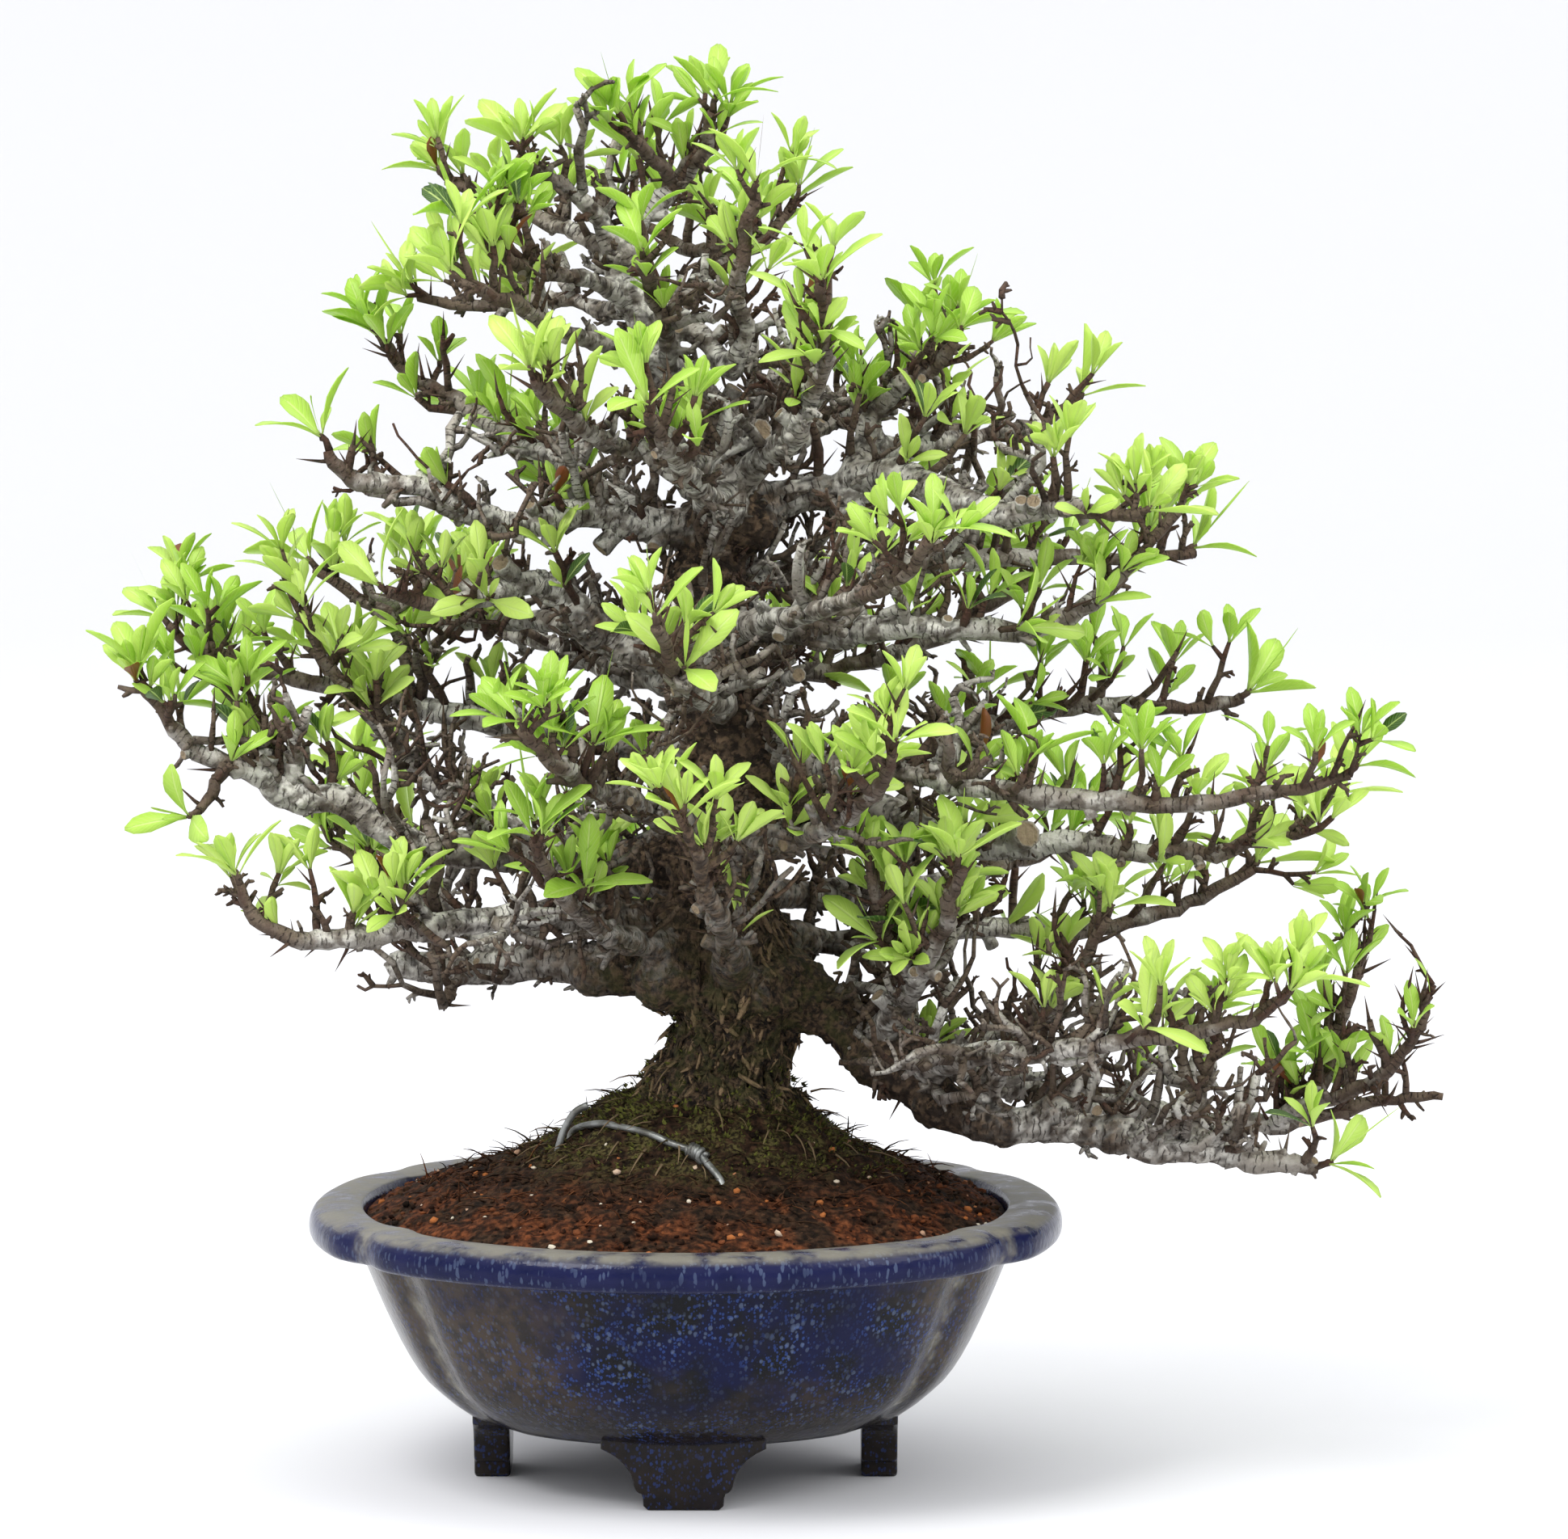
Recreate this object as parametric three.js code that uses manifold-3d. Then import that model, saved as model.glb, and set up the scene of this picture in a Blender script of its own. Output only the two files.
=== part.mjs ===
// A firethorn bonsai in a four-lobed glazed pot, in millimetres, +Z up, seen from -Y.
import * as THREE from "three";
import { mergeVertices } from "three/addons/utils/BufferGeometryUtils.js";
import Module from "manifold-3d";

const wasm = await Module();
wasm.setup();

const GAP = 0.35; // clearance between separate pieces that touch
const SLIVER = 0.12; // faces finer than this are merged

// Pot
const RIM_HALF_WIDTH = 130.5;
const RIM_HALF_DEPTH = 131;
const FRONT_LOBE_RADIUS = 140;
const SIDE_LOBE_RADIUS = 161;
const NOTCH_ANGLE = 33.8; // degrees from the side lobe's middle
const NOTCH_DEPTH = 5;
const NOTCH_SPREAD = 4.5; // degrees
const RIM_TOP = 95;
const RIM_UNDERSIDE = 82.5;
const BOWL_UNDERSIDE = 21.5;
const FLOOR_TOP = 27;
const FOOT_DISTANCE = 67;
const FOOT_THICKNESS = 12.5;
const FOOT_TOP = 26;
const DRAIN_RADIUS = 11;
const DRAIN_DISTANCE = 38;

// Filling
const WALL_CLEARANCE = 0.48; // between the filling and the pot's wall
const SCREEN_SIZE = 34;
const SCREEN_THICKNESS = 1;
const SCREEN_MESH = 9;
const GRIT_TOP = 38;
const SOIL_EDGE = 91.5;
const MOUND_CENTRE_X = 8;
const WIRE_RADIUS = 1.25;
const KNOT_RADIUS = 2.2;

// Trunk, shoots and leaves
const TRUNK_RINGS_IN_SOIL = 5;
const SHOOT_SPACING = 7;
const TUFT_SPACING = 84;
const SHOOT_LENGTH = [9, 22];
const TIP_SHOOT_LENGTH = 8;
const SHOOT_LEAN = { forward: 0.55, outward: 0.9, upward: 0.5 };
const SHOOT_RADII = [1.6, 1.3, 1.2];
const LEAF_LENGTH = [19, 27];
const LEAF_WIDTH = 0.36; // of the length
const LEAF_THICKNESS = 1.2;
const LEAF_STATIONS = [
  [0.42, 0.72],
  [0.72, 1],
]; // [share of the length, share of the width]
const LEAF_BEND = 0.2;
const LEAF_BASE = 2.5;
const LEAF_LEAN = [0.55, 0.95]; // radians from the shoot
const BARE_TIP = 1.5; // a stem that ends thinner than this has no leaves at its tip
const GOLDEN_ANGLE = 2.39996;

// The eye that the routes were read from: 2.5 m in front, level with the tree's top
const EYE = { x: 34, distance: 2498, z: 481 };

const UP = new THREE.Vector3(0, 0, 1);
const degrees = (angle) => (angle * Math.PI) / 180;

const glaze = new THREE.MeshStandardMaterial({ color: 0x1c2247, roughness: 0.25 });
const plastic = new THREE.MeshStandardMaterial({ color: 0x1b1b1b, roughness: 0.6 });
const grit = new THREE.MeshStandardMaterial({ color: 0x8a7a63, roughness: 0.95 });
const peat = new THREE.MeshStandardMaterial({ color: 0x3a1f12, roughness: 1 });
const wire = new THREE.MeshStandardMaterial({ color: 0x8c8a86, roughness: 0.45, metalness: 1 });
const bark = new THREE.MeshStandardMaterial({ color: 0x6b6259, roughness: 0.9 });
const foliage = new THREE.MeshStandardMaterial({ color: 0x9bcb3c, roughness: 0.5 });

// A number stream between 0 and 1 that a seed fixes.
function draws(seed) {
  let state = seed * 7919 + 17;
  const next = () => {
    state = (state * 16807) % 2147483647;
    return state / 2147483647;
  };
  next();
  next();
  return next;
}

function solid(points, faces) {
  const geometry = new THREE.BufferGeometry();
  geometry.setAttribute("position", new THREE.Float32BufferAttribute(points.flat(), 3));
  geometry.setIndex(faces.flat());
  return solidOf(geometry);
}

function solidOf(geometry) {
  const bare = geometry.clone();
  bare.deleteAttribute("normal");
  bare.deleteAttribute("uv");
  const merged = mergeVertices(bare, 1e-4);
  return new wasm.Manifold(
    new wasm.Mesh({
      numProp: 3,
      vertProperties: merged.attributes.position.array,
      triVerts: new Uint32Array(merged.index.array),
    }),
  );
}

const join = (solids) => solids.reduce((whole, piece) => whole.add(piece));

function piece(name, body, material) {
  const made = body.getMesh();
  const geometry = new THREE.BufferGeometry();
  geometry.setAttribute("position", new THREE.BufferAttribute(made.vertProperties, 3));
  geometry.setIndex(new THREE.BufferAttribute(made.triVerts, 1));
  geometry.computeVertexNormals();
  const mesh = new THREE.Mesh(geometry, material);
  mesh.name = name;
  return mesh;
}

// The pot's plan: four arcs, the front and back ones wider, with a notch where they meet.
function arcReach(angle, centreX, centreY, radius) {
  const along = centreX * Math.cos(angle) + centreY * Math.sin(angle);
  return along + Math.sqrt(radius ** 2 - centreX ** 2 - centreY ** 2 + along ** 2);
}

function planRadius(angle) {
  const sideShift = SIDE_LOBE_RADIUS - RIM_HALF_WIDTH;
  const frontShift = FRONT_LOBE_RADIUS - RIM_HALF_DEPTH;
  const reach = Math.min(
    arcReach(angle, sideShift, 0, SIDE_LOBE_RADIUS),
    arcReach(angle, -sideShift, 0, SIDE_LOBE_RADIUS),
    arcReach(angle, 0, frontShift, FRONT_LOBE_RADIUS),
    arcReach(angle, 0, -frontShift, FRONT_LOBE_RADIUS),
  );
  const fromSide = Math.atan2(Math.abs(Math.sin(angle)), Math.abs(Math.cos(angle)));
  const fromNotch = (fromSide - degrees(NOTCH_ANGLE)) / degrees(NOTCH_SPREAD);
  return reach - NOTCH_DEPTH * Math.exp(-(fromNotch ** 2));
}

// Directions in which the plan is sampled, close together at the notches.
const columns = [];
for (const side of [0, 180]) {
  for (const step of [-20, 0, 20, 28.5, 33.8, 39, 52, 71, 90, 109, 128, 141, 146.2, 151.5])
    columns.push(degrees(side + step));
}

// A closed body with the pot's plan: rows of [share of the plan, height], first and last on the axis.
function lobed(rows, shiftX = () => 0) {
  const points = [[shiftX(0), 0, rows[0][1]]];
  const faces = [];
  const count = columns.length;
  const inner = rows.slice(1, -1);
  for (const [share, height] of inner)
    for (const angle of columns) {
      const reach = planRadius(angle) * share;
      points.push([reach * Math.cos(angle) + shiftX(share, height), reach * Math.sin(angle), height]);
    }
  const last = points.push([shiftX(0, rows.at(-1)[1]), 0, rows.at(-1)[1]]) - 1;
  for (let i = 0; i < count; i++) {
    const next = (i + 1) % count;
    faces.push([0, 1 + next, 1 + i]);
    for (let row = 0; row < inner.length - 1; row++) {
      const low = 1 + row * count;
      const high = low + count;
      faces.push([low + i, low + next, high + next], [low + i, high + next, high + i]);
    }
    const top = 1 + (inner.length - 1) * count;
    faces.push([top + i, top + next, last]);
  }
  return solid(points, faces);
}

// Outside and inside of the bowl, from the axis out.
const OUTSIDE = [
  [0.54, BOWL_UNDERSIDE],
  [0.67, 32],
  [0.738, 43],
  [0.804, 60.5],
  [0.857, 77],
  [0.882, RIM_UNDERSIDE],
];
const LIP = [
  [0.97, RIM_UNDERSIDE + 0.5],
  [1, 87],
  [0.992, 92],
  [0.95, RIM_TOP],
  [0.872, RIM_TOP - 0.4],
  [0.852, 92.5],
];
const INSIDE = [
  [0.812, 77],
  [0.755, 60.5],
  [0.69, 43],
  [0.6, 31],
  [0.5, FLOOR_TOP],
];

// The inside's share of the plan at a height, less the gap that the filling keeps to the wall.
function fillShare(height) {
  const wall = [...INSIDE, LIP.at(-1)].sort((a, b) => a[1] - b[1]);
  const above = wall.findIndex(([, level]) => level >= height);
  const [lowShare, low] = wall[above - 1];
  const [highShare, high] = wall[above];
  const share = lowShare + ((highShare - lowShare) * (height - low)) / (high - low);
  return share - WALL_CLEARANCE / RIM_HALF_WIDTH;
}

function foot(turn) {
  const outline = new THREE.Shape();
  outline.moveTo(-12, 0);
  outline.lineTo(12, 0);
  outline.lineTo(13.6, 1.4);
  outline.lineTo(14.2, 5.5);
  outline.quadraticCurveTo(16.6, 6, 17, 9.5);
  outline.quadraticCurveTo(18.5, 17, 28, 21);
  outline.lineTo(28, FOOT_TOP);
  outline.lineTo(-28, FOOT_TOP);
  outline.lineTo(-28, 21);
  outline.quadraticCurveTo(-18.5, 17, -17, 9.5);
  outline.quadraticCurveTo(-16.6, 6, -14.2, 5.5);
  outline.lineTo(-13.6, 1.4);
  const block = new THREE.ExtrudeGeometry(outline, {
    depth: FOOT_THICKNESS,
    bevelEnabled: false,
    curveSegments: 2,
  });
  block.rotateX(Math.PI / 2);
  block.translate(0, -FOOT_DISTANCE + FOOT_THICKNESS / 2, 0);
  block.rotateZ(turn);
  return solidOf(block);
}

function pot() {
  const bowl = lobed([
    [0, BOWL_UNDERSIDE],
    ...OUTSIDE,
    ...LIP,
    ...INSIDE,
    [0, FLOOR_TOP],
  ]);
  const feet = [0, 1, 2, 3].map((quarter) => foot((quarter * Math.PI) / 2));
  let body = join([bowl, ...feet]);
  for (const x of [-DRAIN_DISTANCE, DRAIN_DISTANCE]) {
    const drain = new THREE.CylinderGeometry(DRAIN_RADIUS, DRAIN_RADIUS, 20, 12);
    drain.rotateX(Math.PI / 2);
    drain.translate(x, 0, FLOOR_TOP - 5);
    body = body.subtract(solidOf(drain));
  }
  return piece("pot", body, glaze);
}

function box(width, depth, height, x, y, bottom) {
  const block = new THREE.BoxGeometry(width, depth, height);
  block.translate(x, y, bottom + height / 2);
  return solidOf(block);
}

function screen(name, x) {
  let plate = box(SCREEN_SIZE, SCREEN_SIZE, SCREEN_THICKNESS, x, 0, FLOOR_TOP + GAP);
  const step = SCREEN_SIZE / 4;
  for (const across of [-step, step])
    for (const along of [-step, step])
      plate = plate.subtract(box(SCREEN_MESH, SCREEN_MESH, 3, x + across, along, FLOOR_TOP - 1));
  return piece(name, plate, plastic);
}

function gritLayer() {
  const bottom = FLOOR_TOP + GAP;
  let layer = lobed([
    [0, bottom],
    [fillShare(FLOOR_TOP + 0.2), bottom],
    [fillShare(31), 31],
    [fillShare(GRIT_TOP), GRIT_TOP],
    [0, GRIT_TOP],
  ]);
  for (const x of [-DRAIN_DISTANCE, DRAIN_DISTANCE]) {
    const width = SCREEN_SIZE + 2 * GAP;
    layer = layer.subtract(box(width, width, SCREEN_THICKNESS + 2 * GAP, x, 0, FLOOR_TOP));
  }
  return piece("drainage_grit", layer, grit);
}

// The mound of soil: [share of the inside, height], from the wall to the trunk.
const MOUND = [
  [1, SOIL_EDGE],
  [0.9, 97],
  [0.76, 103],
  [0.62, 108],
  [0.48, 115],
  [0.3, 130],
  [0, 136],
];

// Height of the mound over a point of the plan.
function moundHeight(x, y) {
  let share = Math.hypot(x, y) / (planRadius(Math.atan2(y, x)) * fillShare(SOIL_EDGE));
  const shifted = x - MOUND_CENTRE_X * (1 - Math.min(share, 1));
  share = Math.hypot(shifted, y) / (planRadius(Math.atan2(y, shifted)) * fillShare(SOIL_EDGE));
  const inner = MOUND.findIndex(([level]) => level <= share);
  if (inner < 1) return SOIL_EDGE;
  const [outShare, outHeight] = MOUND[inner - 1];
  const [inShare, inHeight] = MOUND[inner];
  return outHeight + ((inHeight - outHeight) * (outShare - share)) / (outShare - inShare);
}

function soil(holes) {
  const edge = fillShare(SOIL_EDGE);
  const bottom = GRIT_TOP + GAP;
  const rows = [
    [0, bottom],
    [fillShare(bottom), bottom],
    [fillShare(43.5), 43.5],
    [fillShare(60.5), 60.5],
    [fillShare(77), 77],
    ...MOUND.slice(0, -1).map(([share, height]) => [share * edge, height]),
    MOUND.at(-1),
  ];
  const lean = (share, height = 0) => (height > SOIL_EDGE ? MOUND_CENTRE_X * (1 - share / edge) : 0);
  const body = holes.reduce((rest, hole) => rest.subtract(hole), lobed(rows, lean));
  return piece("soil", body, peat);
}

// A height read off the front view comes out a little short, as the eye looks down on it.
const seenHeight = (z) => 2 + 1.025 * z - 0.000033 * z * z;

// A point of a route, [x, z, depth, radius] as seen at the trunk's distance, moved along the sight.
function place([x, z, depth, radius]) {
  const stretch = 1 + depth / EYE.distance;
  const at = new THREE.Vector3(
    EYE.x + (x - EYE.x) * stretch,
    depth,
    EYE.z + (seenHeight(z) - EYE.z) * stretch,
  );
  return { at, radius };
}

// Rings of a route: centre, radius and two axes across it, carried along without twist.
function rings(stops) {
  let across = null;
  return stops.map(({ at, radius }, i) => {
    const before = stops[Math.max(i - 1, 0)].at;
    const after = stops[Math.min(i + 1, stops.length - 1)].at;
    const along = after.clone().sub(before).normalize();
    if (!across) across = new THREE.Vector3(0.3, -1, 0.2);
    across = across.clone().addScaledVector(along, -across.dot(along)).normalize();
    return { at, radius, along, across, over: along.clone().cross(across) };
  });
}

// A closed tube through rings, with its radius swollen by as much as is asked.
function tube(run, sides, swell = 0) {
  const points = [];
  const faces = [];
  for (const ring of run) {
    for (let side = 0; side < sides; side++) {
      const angle = (side / sides) * 2 * Math.PI;
      const radius = ring.radius + swell;
      const spot = ring.at
        .clone()
        .addScaledVector(ring.across, radius * Math.cos(angle))
        .addScaledVector(ring.over, radius * Math.sin(angle));
      points.push(spot.toArray());
    }
  }
  const last = (run.length - 1) * sides;
  for (let side = 0; side < sides; side++) {
    const next = (side + 1) % sides;
    for (let start = 0; start < last; start += sides) {
      const up = start + sides;
      faces.push([start + side, start + next, up + next], [start + side, up + next, up + side]);
    }
  }
  for (let side = 1; side < sides - 1; side++) {
    faces.push([0, side + 1, side], [last, last + side, last + side + 1]);
  }
  return solid(points, faces);
}

// The trunk, from the root crown in the soil to the fork at the top: [x, z, depth, radius].
const TRUNK = [
  [10, 60, 0, 17],
  [10, 100, 0, 27],
  [10, 120, 0, 30],
  [11, 130, 0, 25],
  [13, 139, 0, 21.5],
  [18, 150, 0, 21.5],
  [20, 163, 0, 25],
  [15, 180, 0, 21],
  [14, 200, -2, 15],
  [12, 220, -2, 17],
  [19, 240, -4, 18],
  [14, 260, -4, 15.5],
  [11, 280, -2, 14],
  [7, 300, 2, 12],
  [13, 318, 4, 12.5],
  [15, 335, 5, 12.5],
  [13, 352, 4, 10],
  [4, 366, 2, 9],
  [-6, 378, 0, 8],
  [-14, 392, -2, 7.2],
  [-20, 406, -3, 6.5],
  [-22, 420, -3, 5.5],
];

// The limbs: name, how many points are old wood of one piece with the trunk, and the route.
// A last name gives the leafy stem that a fork without old wood of its own grows from.
const LIMBS = [
  ["crown_left_high", 3, [
    [-22, 414, -3, 4.4], [-32, 430, -10, 3.6], [-41, 438, -16, 3], [-49, 443, -22, 2.5],
    [-55, 449, -26, 1.8],
  ]],
  ["crown_left_mid", 3, [
    [-21, 408, 0, 4.4], [-34, 422, 12, 3.6], [-48, 427, 22, 3], [-64, 434, 30, 2.6], [-82, 441, 36, 1.9],
  ]],
  ["crown_top", 2, [
    [-22, 412, -2, 4.4], [-15, 428, 4, 4.1], [-2, 440, 8, 3.6], [7, 452, 6, 3], [10, 465, 2, 2],
  ]],
  ["crown_top_left", 0, [
    [-2, 438, 8, 3.2], [-8, 447, 0, 2.6], [-15, 453, -8, 2.2], [-21, 460, -14, 1.8],
  ], "crown_top"],
  ["crown_left_low", 3, [
    [-18, 401, -2, 4.8], [-36, 406, -20, 3.8], [-50, 409, -34, 3.1], [-62, 415, -46, 2.6],
    [-74, 424, -54, 1.9],
  ]],
  ["crown_left_flat", 3, [
    [-15, 394, 0, 4.4], [-34, 399, 18, 3.6], [-52, 399, 34, 3], [-72, 398, 46, 2.5], [-90, 401, 56, 1.8],
  ]],
  ["crown_left_spur", 3, [
    [-8, 380, -2, 5.2], [-30, 386, -24, 3.9], [-46, 391, -42, 3.3], [-62, 400, -58, 2.6],
    [-78, 406, -70, 1.9],
  ]],
  ["crown_right", 6, [
    [-17, 400, -3, 5.2], [0, 392, -12, 4.8], [10, 384, -20, 4.6], [17, 377, -27, 4.4],
    [21, 388, -34, 3.8], [18, 404, -40, 3.1], [20, 420, -44, 2.6], [24, 436, -48, 1.9],
  ]],
  ["crown_back_right", 3, [
    [-13, 393, 2, 4.4], [0, 402, 20, 3.8], [12, 412, 38, 3.1], [26, 420, 54, 2.5], [36, 431, 64, 1.8],
  ]],
  ["crown_back", 0, [
    [18, 415, 45, 2.6], [4, 417, 54, 2.5], [-10, 423, 62, 2.3], [-22, 433, 66, 1.8],
  ], "crown_back_right"],
  ["crown_front", 3, [
    [-5, 376, -4, 4.8], [-7, 388, -28, 3.8], [-10, 400, -46, 3.1], [-14, 413, -60, 2.2],
  ]],
  ["right_upright", 6, [
    [18, 328, 4, 7.6], [40, 334, 10, 6.8], [55, 336, 12, 6.3], [61, 349, 14, 5.2], [66, 361, 12, 4.1],
    [75, 370, 8, 3.3], [85, 377, 4, 2.6], [93, 386, 0, 1.9],
  ]],
  ["right_cut_limb", 6, [
    [52, 335, 12, 6.4], [70, 340, 0, 6.2], [86, 335, -14, 5.8], [98, 330, -24, 5.4],
    [112, 326, -30, 4.9], [126, 329, -36, 4.1], [141, 327, -44, 2.8], [157, 326, -54, 1.9],
  ]],
  ["right_upper_back", 4, [
    [61, 348, 14, 4.8], [84, 350, 30, 3.9], [102, 353, 42, 3.4], [119, 357, 50, 2.8],
    [134, 364, 56, 1.9],
  ]],
  ["right_front_high", 3, [
    [18, 338, -2, 6.8], [36, 352, -30, 4.7], [45, 369, -52, 3.6], [48, 387, -70, 2.8],
    [47, 404, -84, 1.9],
  ]],
  ["right_four", 5, [
    [14, 288, 0, 7.6], [38, 286, -12, 6], [56, 286, -22, 5.4], [76, 288, -28, 4.9], [100, 286, -30, 4.2],
    [124, 289, -28, 3.6], [144, 300, -24, 3], [158, 315, -20, 2.3], [170, 328, -16, 1.8],
  ]],
  ["right_four_back", 4, [
    [12, 302, 6, 6.8], [38, 306, 28, 5.5], [66, 308, 48, 4.6], [102, 311, 68, 3.6], [140, 311, 84, 2.7],
    [174, 313, 98, 1.8],
  ]],
  ["right_three", 5, [
    [16, 240, 0, 7.6], [42, 237, 14, 6.5], [68, 238, 26, 5.5], [86, 243, 36, 4.9], [102, 252, 44, 4.2],
    [120, 259, 50, 3.8], [144, 261, 54, 3.1], [168, 260, 56, 2.6], [192, 263, 56, 1.9],
  ]],
  ["right_three_low", 5, [
    [18, 236, -4, 7.2], [40, 238, -24, 6], [62, 239, -40, 5.2], [86, 236, -52, 4.6],
    [112, 231, -62, 4.1], [142, 228, -68, 3.6], [176, 228, -73, 2.9], [208, 231, -74, 2.3],
    [229, 237, -72, 1.5],
  ]],
  ["right_two", 5, [
    [14, 224, 2, 6.8], [44, 228, 4, 6], [62, 228, 2, 5.6], [76, 222, -2, 5.4], [90, 214, -6, 5],
    [112, 212, -10, 4.6], [136, 213, -12, 4], [160, 210, -16, 3.4], [184, 211, -20, 3],
    [206, 216, -24, 2.5], [221, 227, -26, 1.8],
  ]],
  ["right_one_back", 4, [
    [20, 186, 6, 6.8], [42, 180, 24, 5.5], [66, 181, 42, 4.7], [92, 184, 54, 4.1], [120, 184, 64, 3.6],
    [148, 185, 70, 3.1], [174, 193, 74, 2.6], [196, 204, 76, 1.9],
  ]],
  ["low_right", 10, [
    [26, 168, -2, 13], [50, 156, -8, 11], [64, 144, -14, 10.2], [78, 132, -20, 9.4], [94, 121, -26, 8.6],
    [112, 117, -30, 7.6], [132, 116, -32, 7], [152, 112, -34, 6.4], [172, 109, -36, 5.8],
    [192, 106, -38, 4.8], [208, 104, -38, 3.6], [219, 102, -38, 2],
  ]],
  ["low_right_upper", 5, [
    [60, 151, -10, 6.8], [84, 144, 4, 6], [102, 132, 14, 5.4], [124, 127, 22, 4.8], [150, 123, 28, 4.2],
    [176, 119, 32, 3.8], [202, 117, 34, 3.3], [228, 122, 34, 2.6], [250, 126, 32, 2],
    [262, 127, 30, 1.4],
  ]],
  ["low_right_tip", 0, [
    [202, 117, 34, 3.1], [217, 124, 22, 3], [234, 130, 10, 2.6], [247, 141, 2, 2.3], [255, 153, -4, 1.9],
    [258, 165, -6, 1.4],
  ], "low_right_upper"],
  ["low_right_spikes", 0, [
    [215, 120, 34, 2.8], [222, 137, 40, 2.5], [228, 154, 42, 2.2], [233, 170, 42, 1.8],
    [230, 185, 42, 1.4],
  ], "low_right_upper"],
  ["low_right_front", 4, [
    [78, 136, -20, 6], [98, 140, -50, 4.9], [122, 142, -68, 4.1], [148, 144, -80, 3.4],
    [172, 148, -88, 2.8], [196, 154, -92, 2.2], [210, 163, -94, 1.6],
  ]],
  ["low_right_up", 3, [
    [100, 122, -27, 5.2], [112, 140, -32, 4.2], [124, 156, -38, 3.4], [136, 172, -44, 2.6],
    [146, 188, -48, 1.9],
  ]],
  ["low_right_inner", 2, [
    [66, 148, -16, 5.6], [77, 161, -40, 4.4], [85, 175, -58, 3.4], [91, 190, -70, 2.6],
    [94, 205, -78, 1.9],
  ]],
  ["low_right_tuft", 0, [
    [80, 166, -47, 3.6], [71, 177, -52, 3.1], [66, 190, -56, 2.6], [64, 204, -60, 2],
  ], "low_right_inner"],
  ["low_right_far_up", 3, [
    [172, 110, -36, 4.2], [177, 124, -34, 3.4], [181, 136, -32, 2.7], [184, 148, -30, 1.9],
  ]],
  ["left_upper", 6, [
    [10, 320, 2, 7.6], [-14, 323, -2, 6.8], [-32, 327, -6, 6.2], [-55, 324, -10, 5.6],
    [-72, 327, -14, 4.9], [-88, 334, -18, 4.2], [-102, 338, -20, 3.6], [-114, 339, -22, 3],
    [-123, 349, -24, 1.9],
  ]],
  ["left_upper_back", 3, [
    [-16, 326, 0, 5.6], [-38, 340, 22, 4.4], [-58, 352, 38, 3.8], [-78, 366, 48, 3.1],
    [-92, 373, 56, 2.6], [-104, 385, 62, 1.9],
  ]],
  ["left_upper_front", 3, [
    [10, 340, -4, 6], [-12, 346, -32, 4.4], [-28, 352, -52, 3.6], [-42, 362, -70, 2.8],
    [-52, 373, -84, 1.9],
  ]],
  ["left_mid", 6, [
    [8, 276, 2, 8], [-16, 280, 4, 7.3], [-31, 286, 4, 6.8], [-41, 298, 2, 6.3], [-50, 303, -3, 5.2],
    [-62, 300, -10, 4.2], [-76, 296, -18, 3.4], [-90, 296, -24, 2.6], [-102, 299, -28, 1.9],
  ]],
  ["left_mid_arch", 3, [
    [-28, 284, 6, 5.6], [-44, 289, 22, 4.4], [-62, 290, 36, 3.8], [-84, 290, 50, 3.1],
    [-108, 296, 62, 2.5], [-128, 308, 68, 1.8],
  ]],
  ["left_long", 6, [
    [12, 246, 2, 7.6], [-12, 247, 12, 6.4], [-40, 250, 22, 5.6], [-62, 254, 28, 5], [-86, 259, 32, 4.4],
    [-112, 265, 34, 3.8], [-140, 271, 33, 3], [-163, 278, 30, 2.3], [-178, 288, 28, 1.7],
  ]],
  ["left_thick", 10, [
    [12, 206, 0, 10], [-20, 207, -4, 8.8], [-45, 208, -8, 7.8], [-66, 211, -12, 6.8], [-90, 212, -15, 6],
    [-106, 219, -17, 5.4], [-120, 228, -18, 5.2], [-131, 230, -18, 6], [-140, 231, -18, 5.4],
    [-146, 237, -19, 4.4], [-158, 240, -20, 3.7], [-171, 247, -20, 3.2], [-179, 257, -20, 2.6],
    [-187, 270, -20, 1.9],
  ]],
  ["left_thick_low", 0, [
    [-160, 241, -20, 3], [-163, 232, -26, 2.2], [-168, 224, -32, 1.8],
  ], "left_thick"],
  ["left_thick_up", 2, [
    [-134, 234, -18, 4.4], [-142, 247, -8, 3.4], [-151, 258, -2, 2.8], [-160, 270, 0, 2.2],
    [-164, 283, 2, 1.7],
  ]],
  ["left_mid_diag", 4, [
    [-62, 212, -12, 5.6], [-76, 225, 4, 4.4], [-92, 239, 14, 3.8], [-102, 250, 12, 3.3],
    [-114, 262, 6, 2.8], [-125, 277, 2, 2.4], [-131, 295, 0, 1.8],
  ]],
  ["left_low_one", 5, [
    [8, 184, -6, 10], [-20, 187, -16, 6.8], [-46, 188, -28, 5.7], [-72, 187, -38, 5],
    [-98, 183, -46, 4.4], [-120, 180, -52, 3.8], [-136, 181, -56, 3.1], [-148, 187, -58, 2.5],
    [-154, 199, -58, 1.7],
  ]],
  ["left_low_two", 5, [
    [8, 172, 0, 12.4], [-26, 173, 8, 9.2], [-52, 172, 16, 7.4], [-80, 171, 24, 6.3],
    [-103, 173, 30, 4.7],
  ]],
  ["left_low_two_twig", 3, [
    [-74, 172, 22, 4], [-80, 163, 12, 2.8], [-84, 156, 4, 2],
  ]],
  ["left_low_two_up", 3, [
    [-60, 173, 18, 5.2], [-76, 185, 38, 3.8], [-92, 195, 52, 3.1], [-108, 205, 62, 2.6],
    [-121, 214, 68, 1.8],
  ]],
  ["left_low_front", 3, [
    [-4, 176, -10, 8.4], [-24, 182, -40, 4.9], [-36, 190, -62, 3.9], [-46, 200, -80, 3.1],
    [-52, 213, -94, 2],
  ]],
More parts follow.
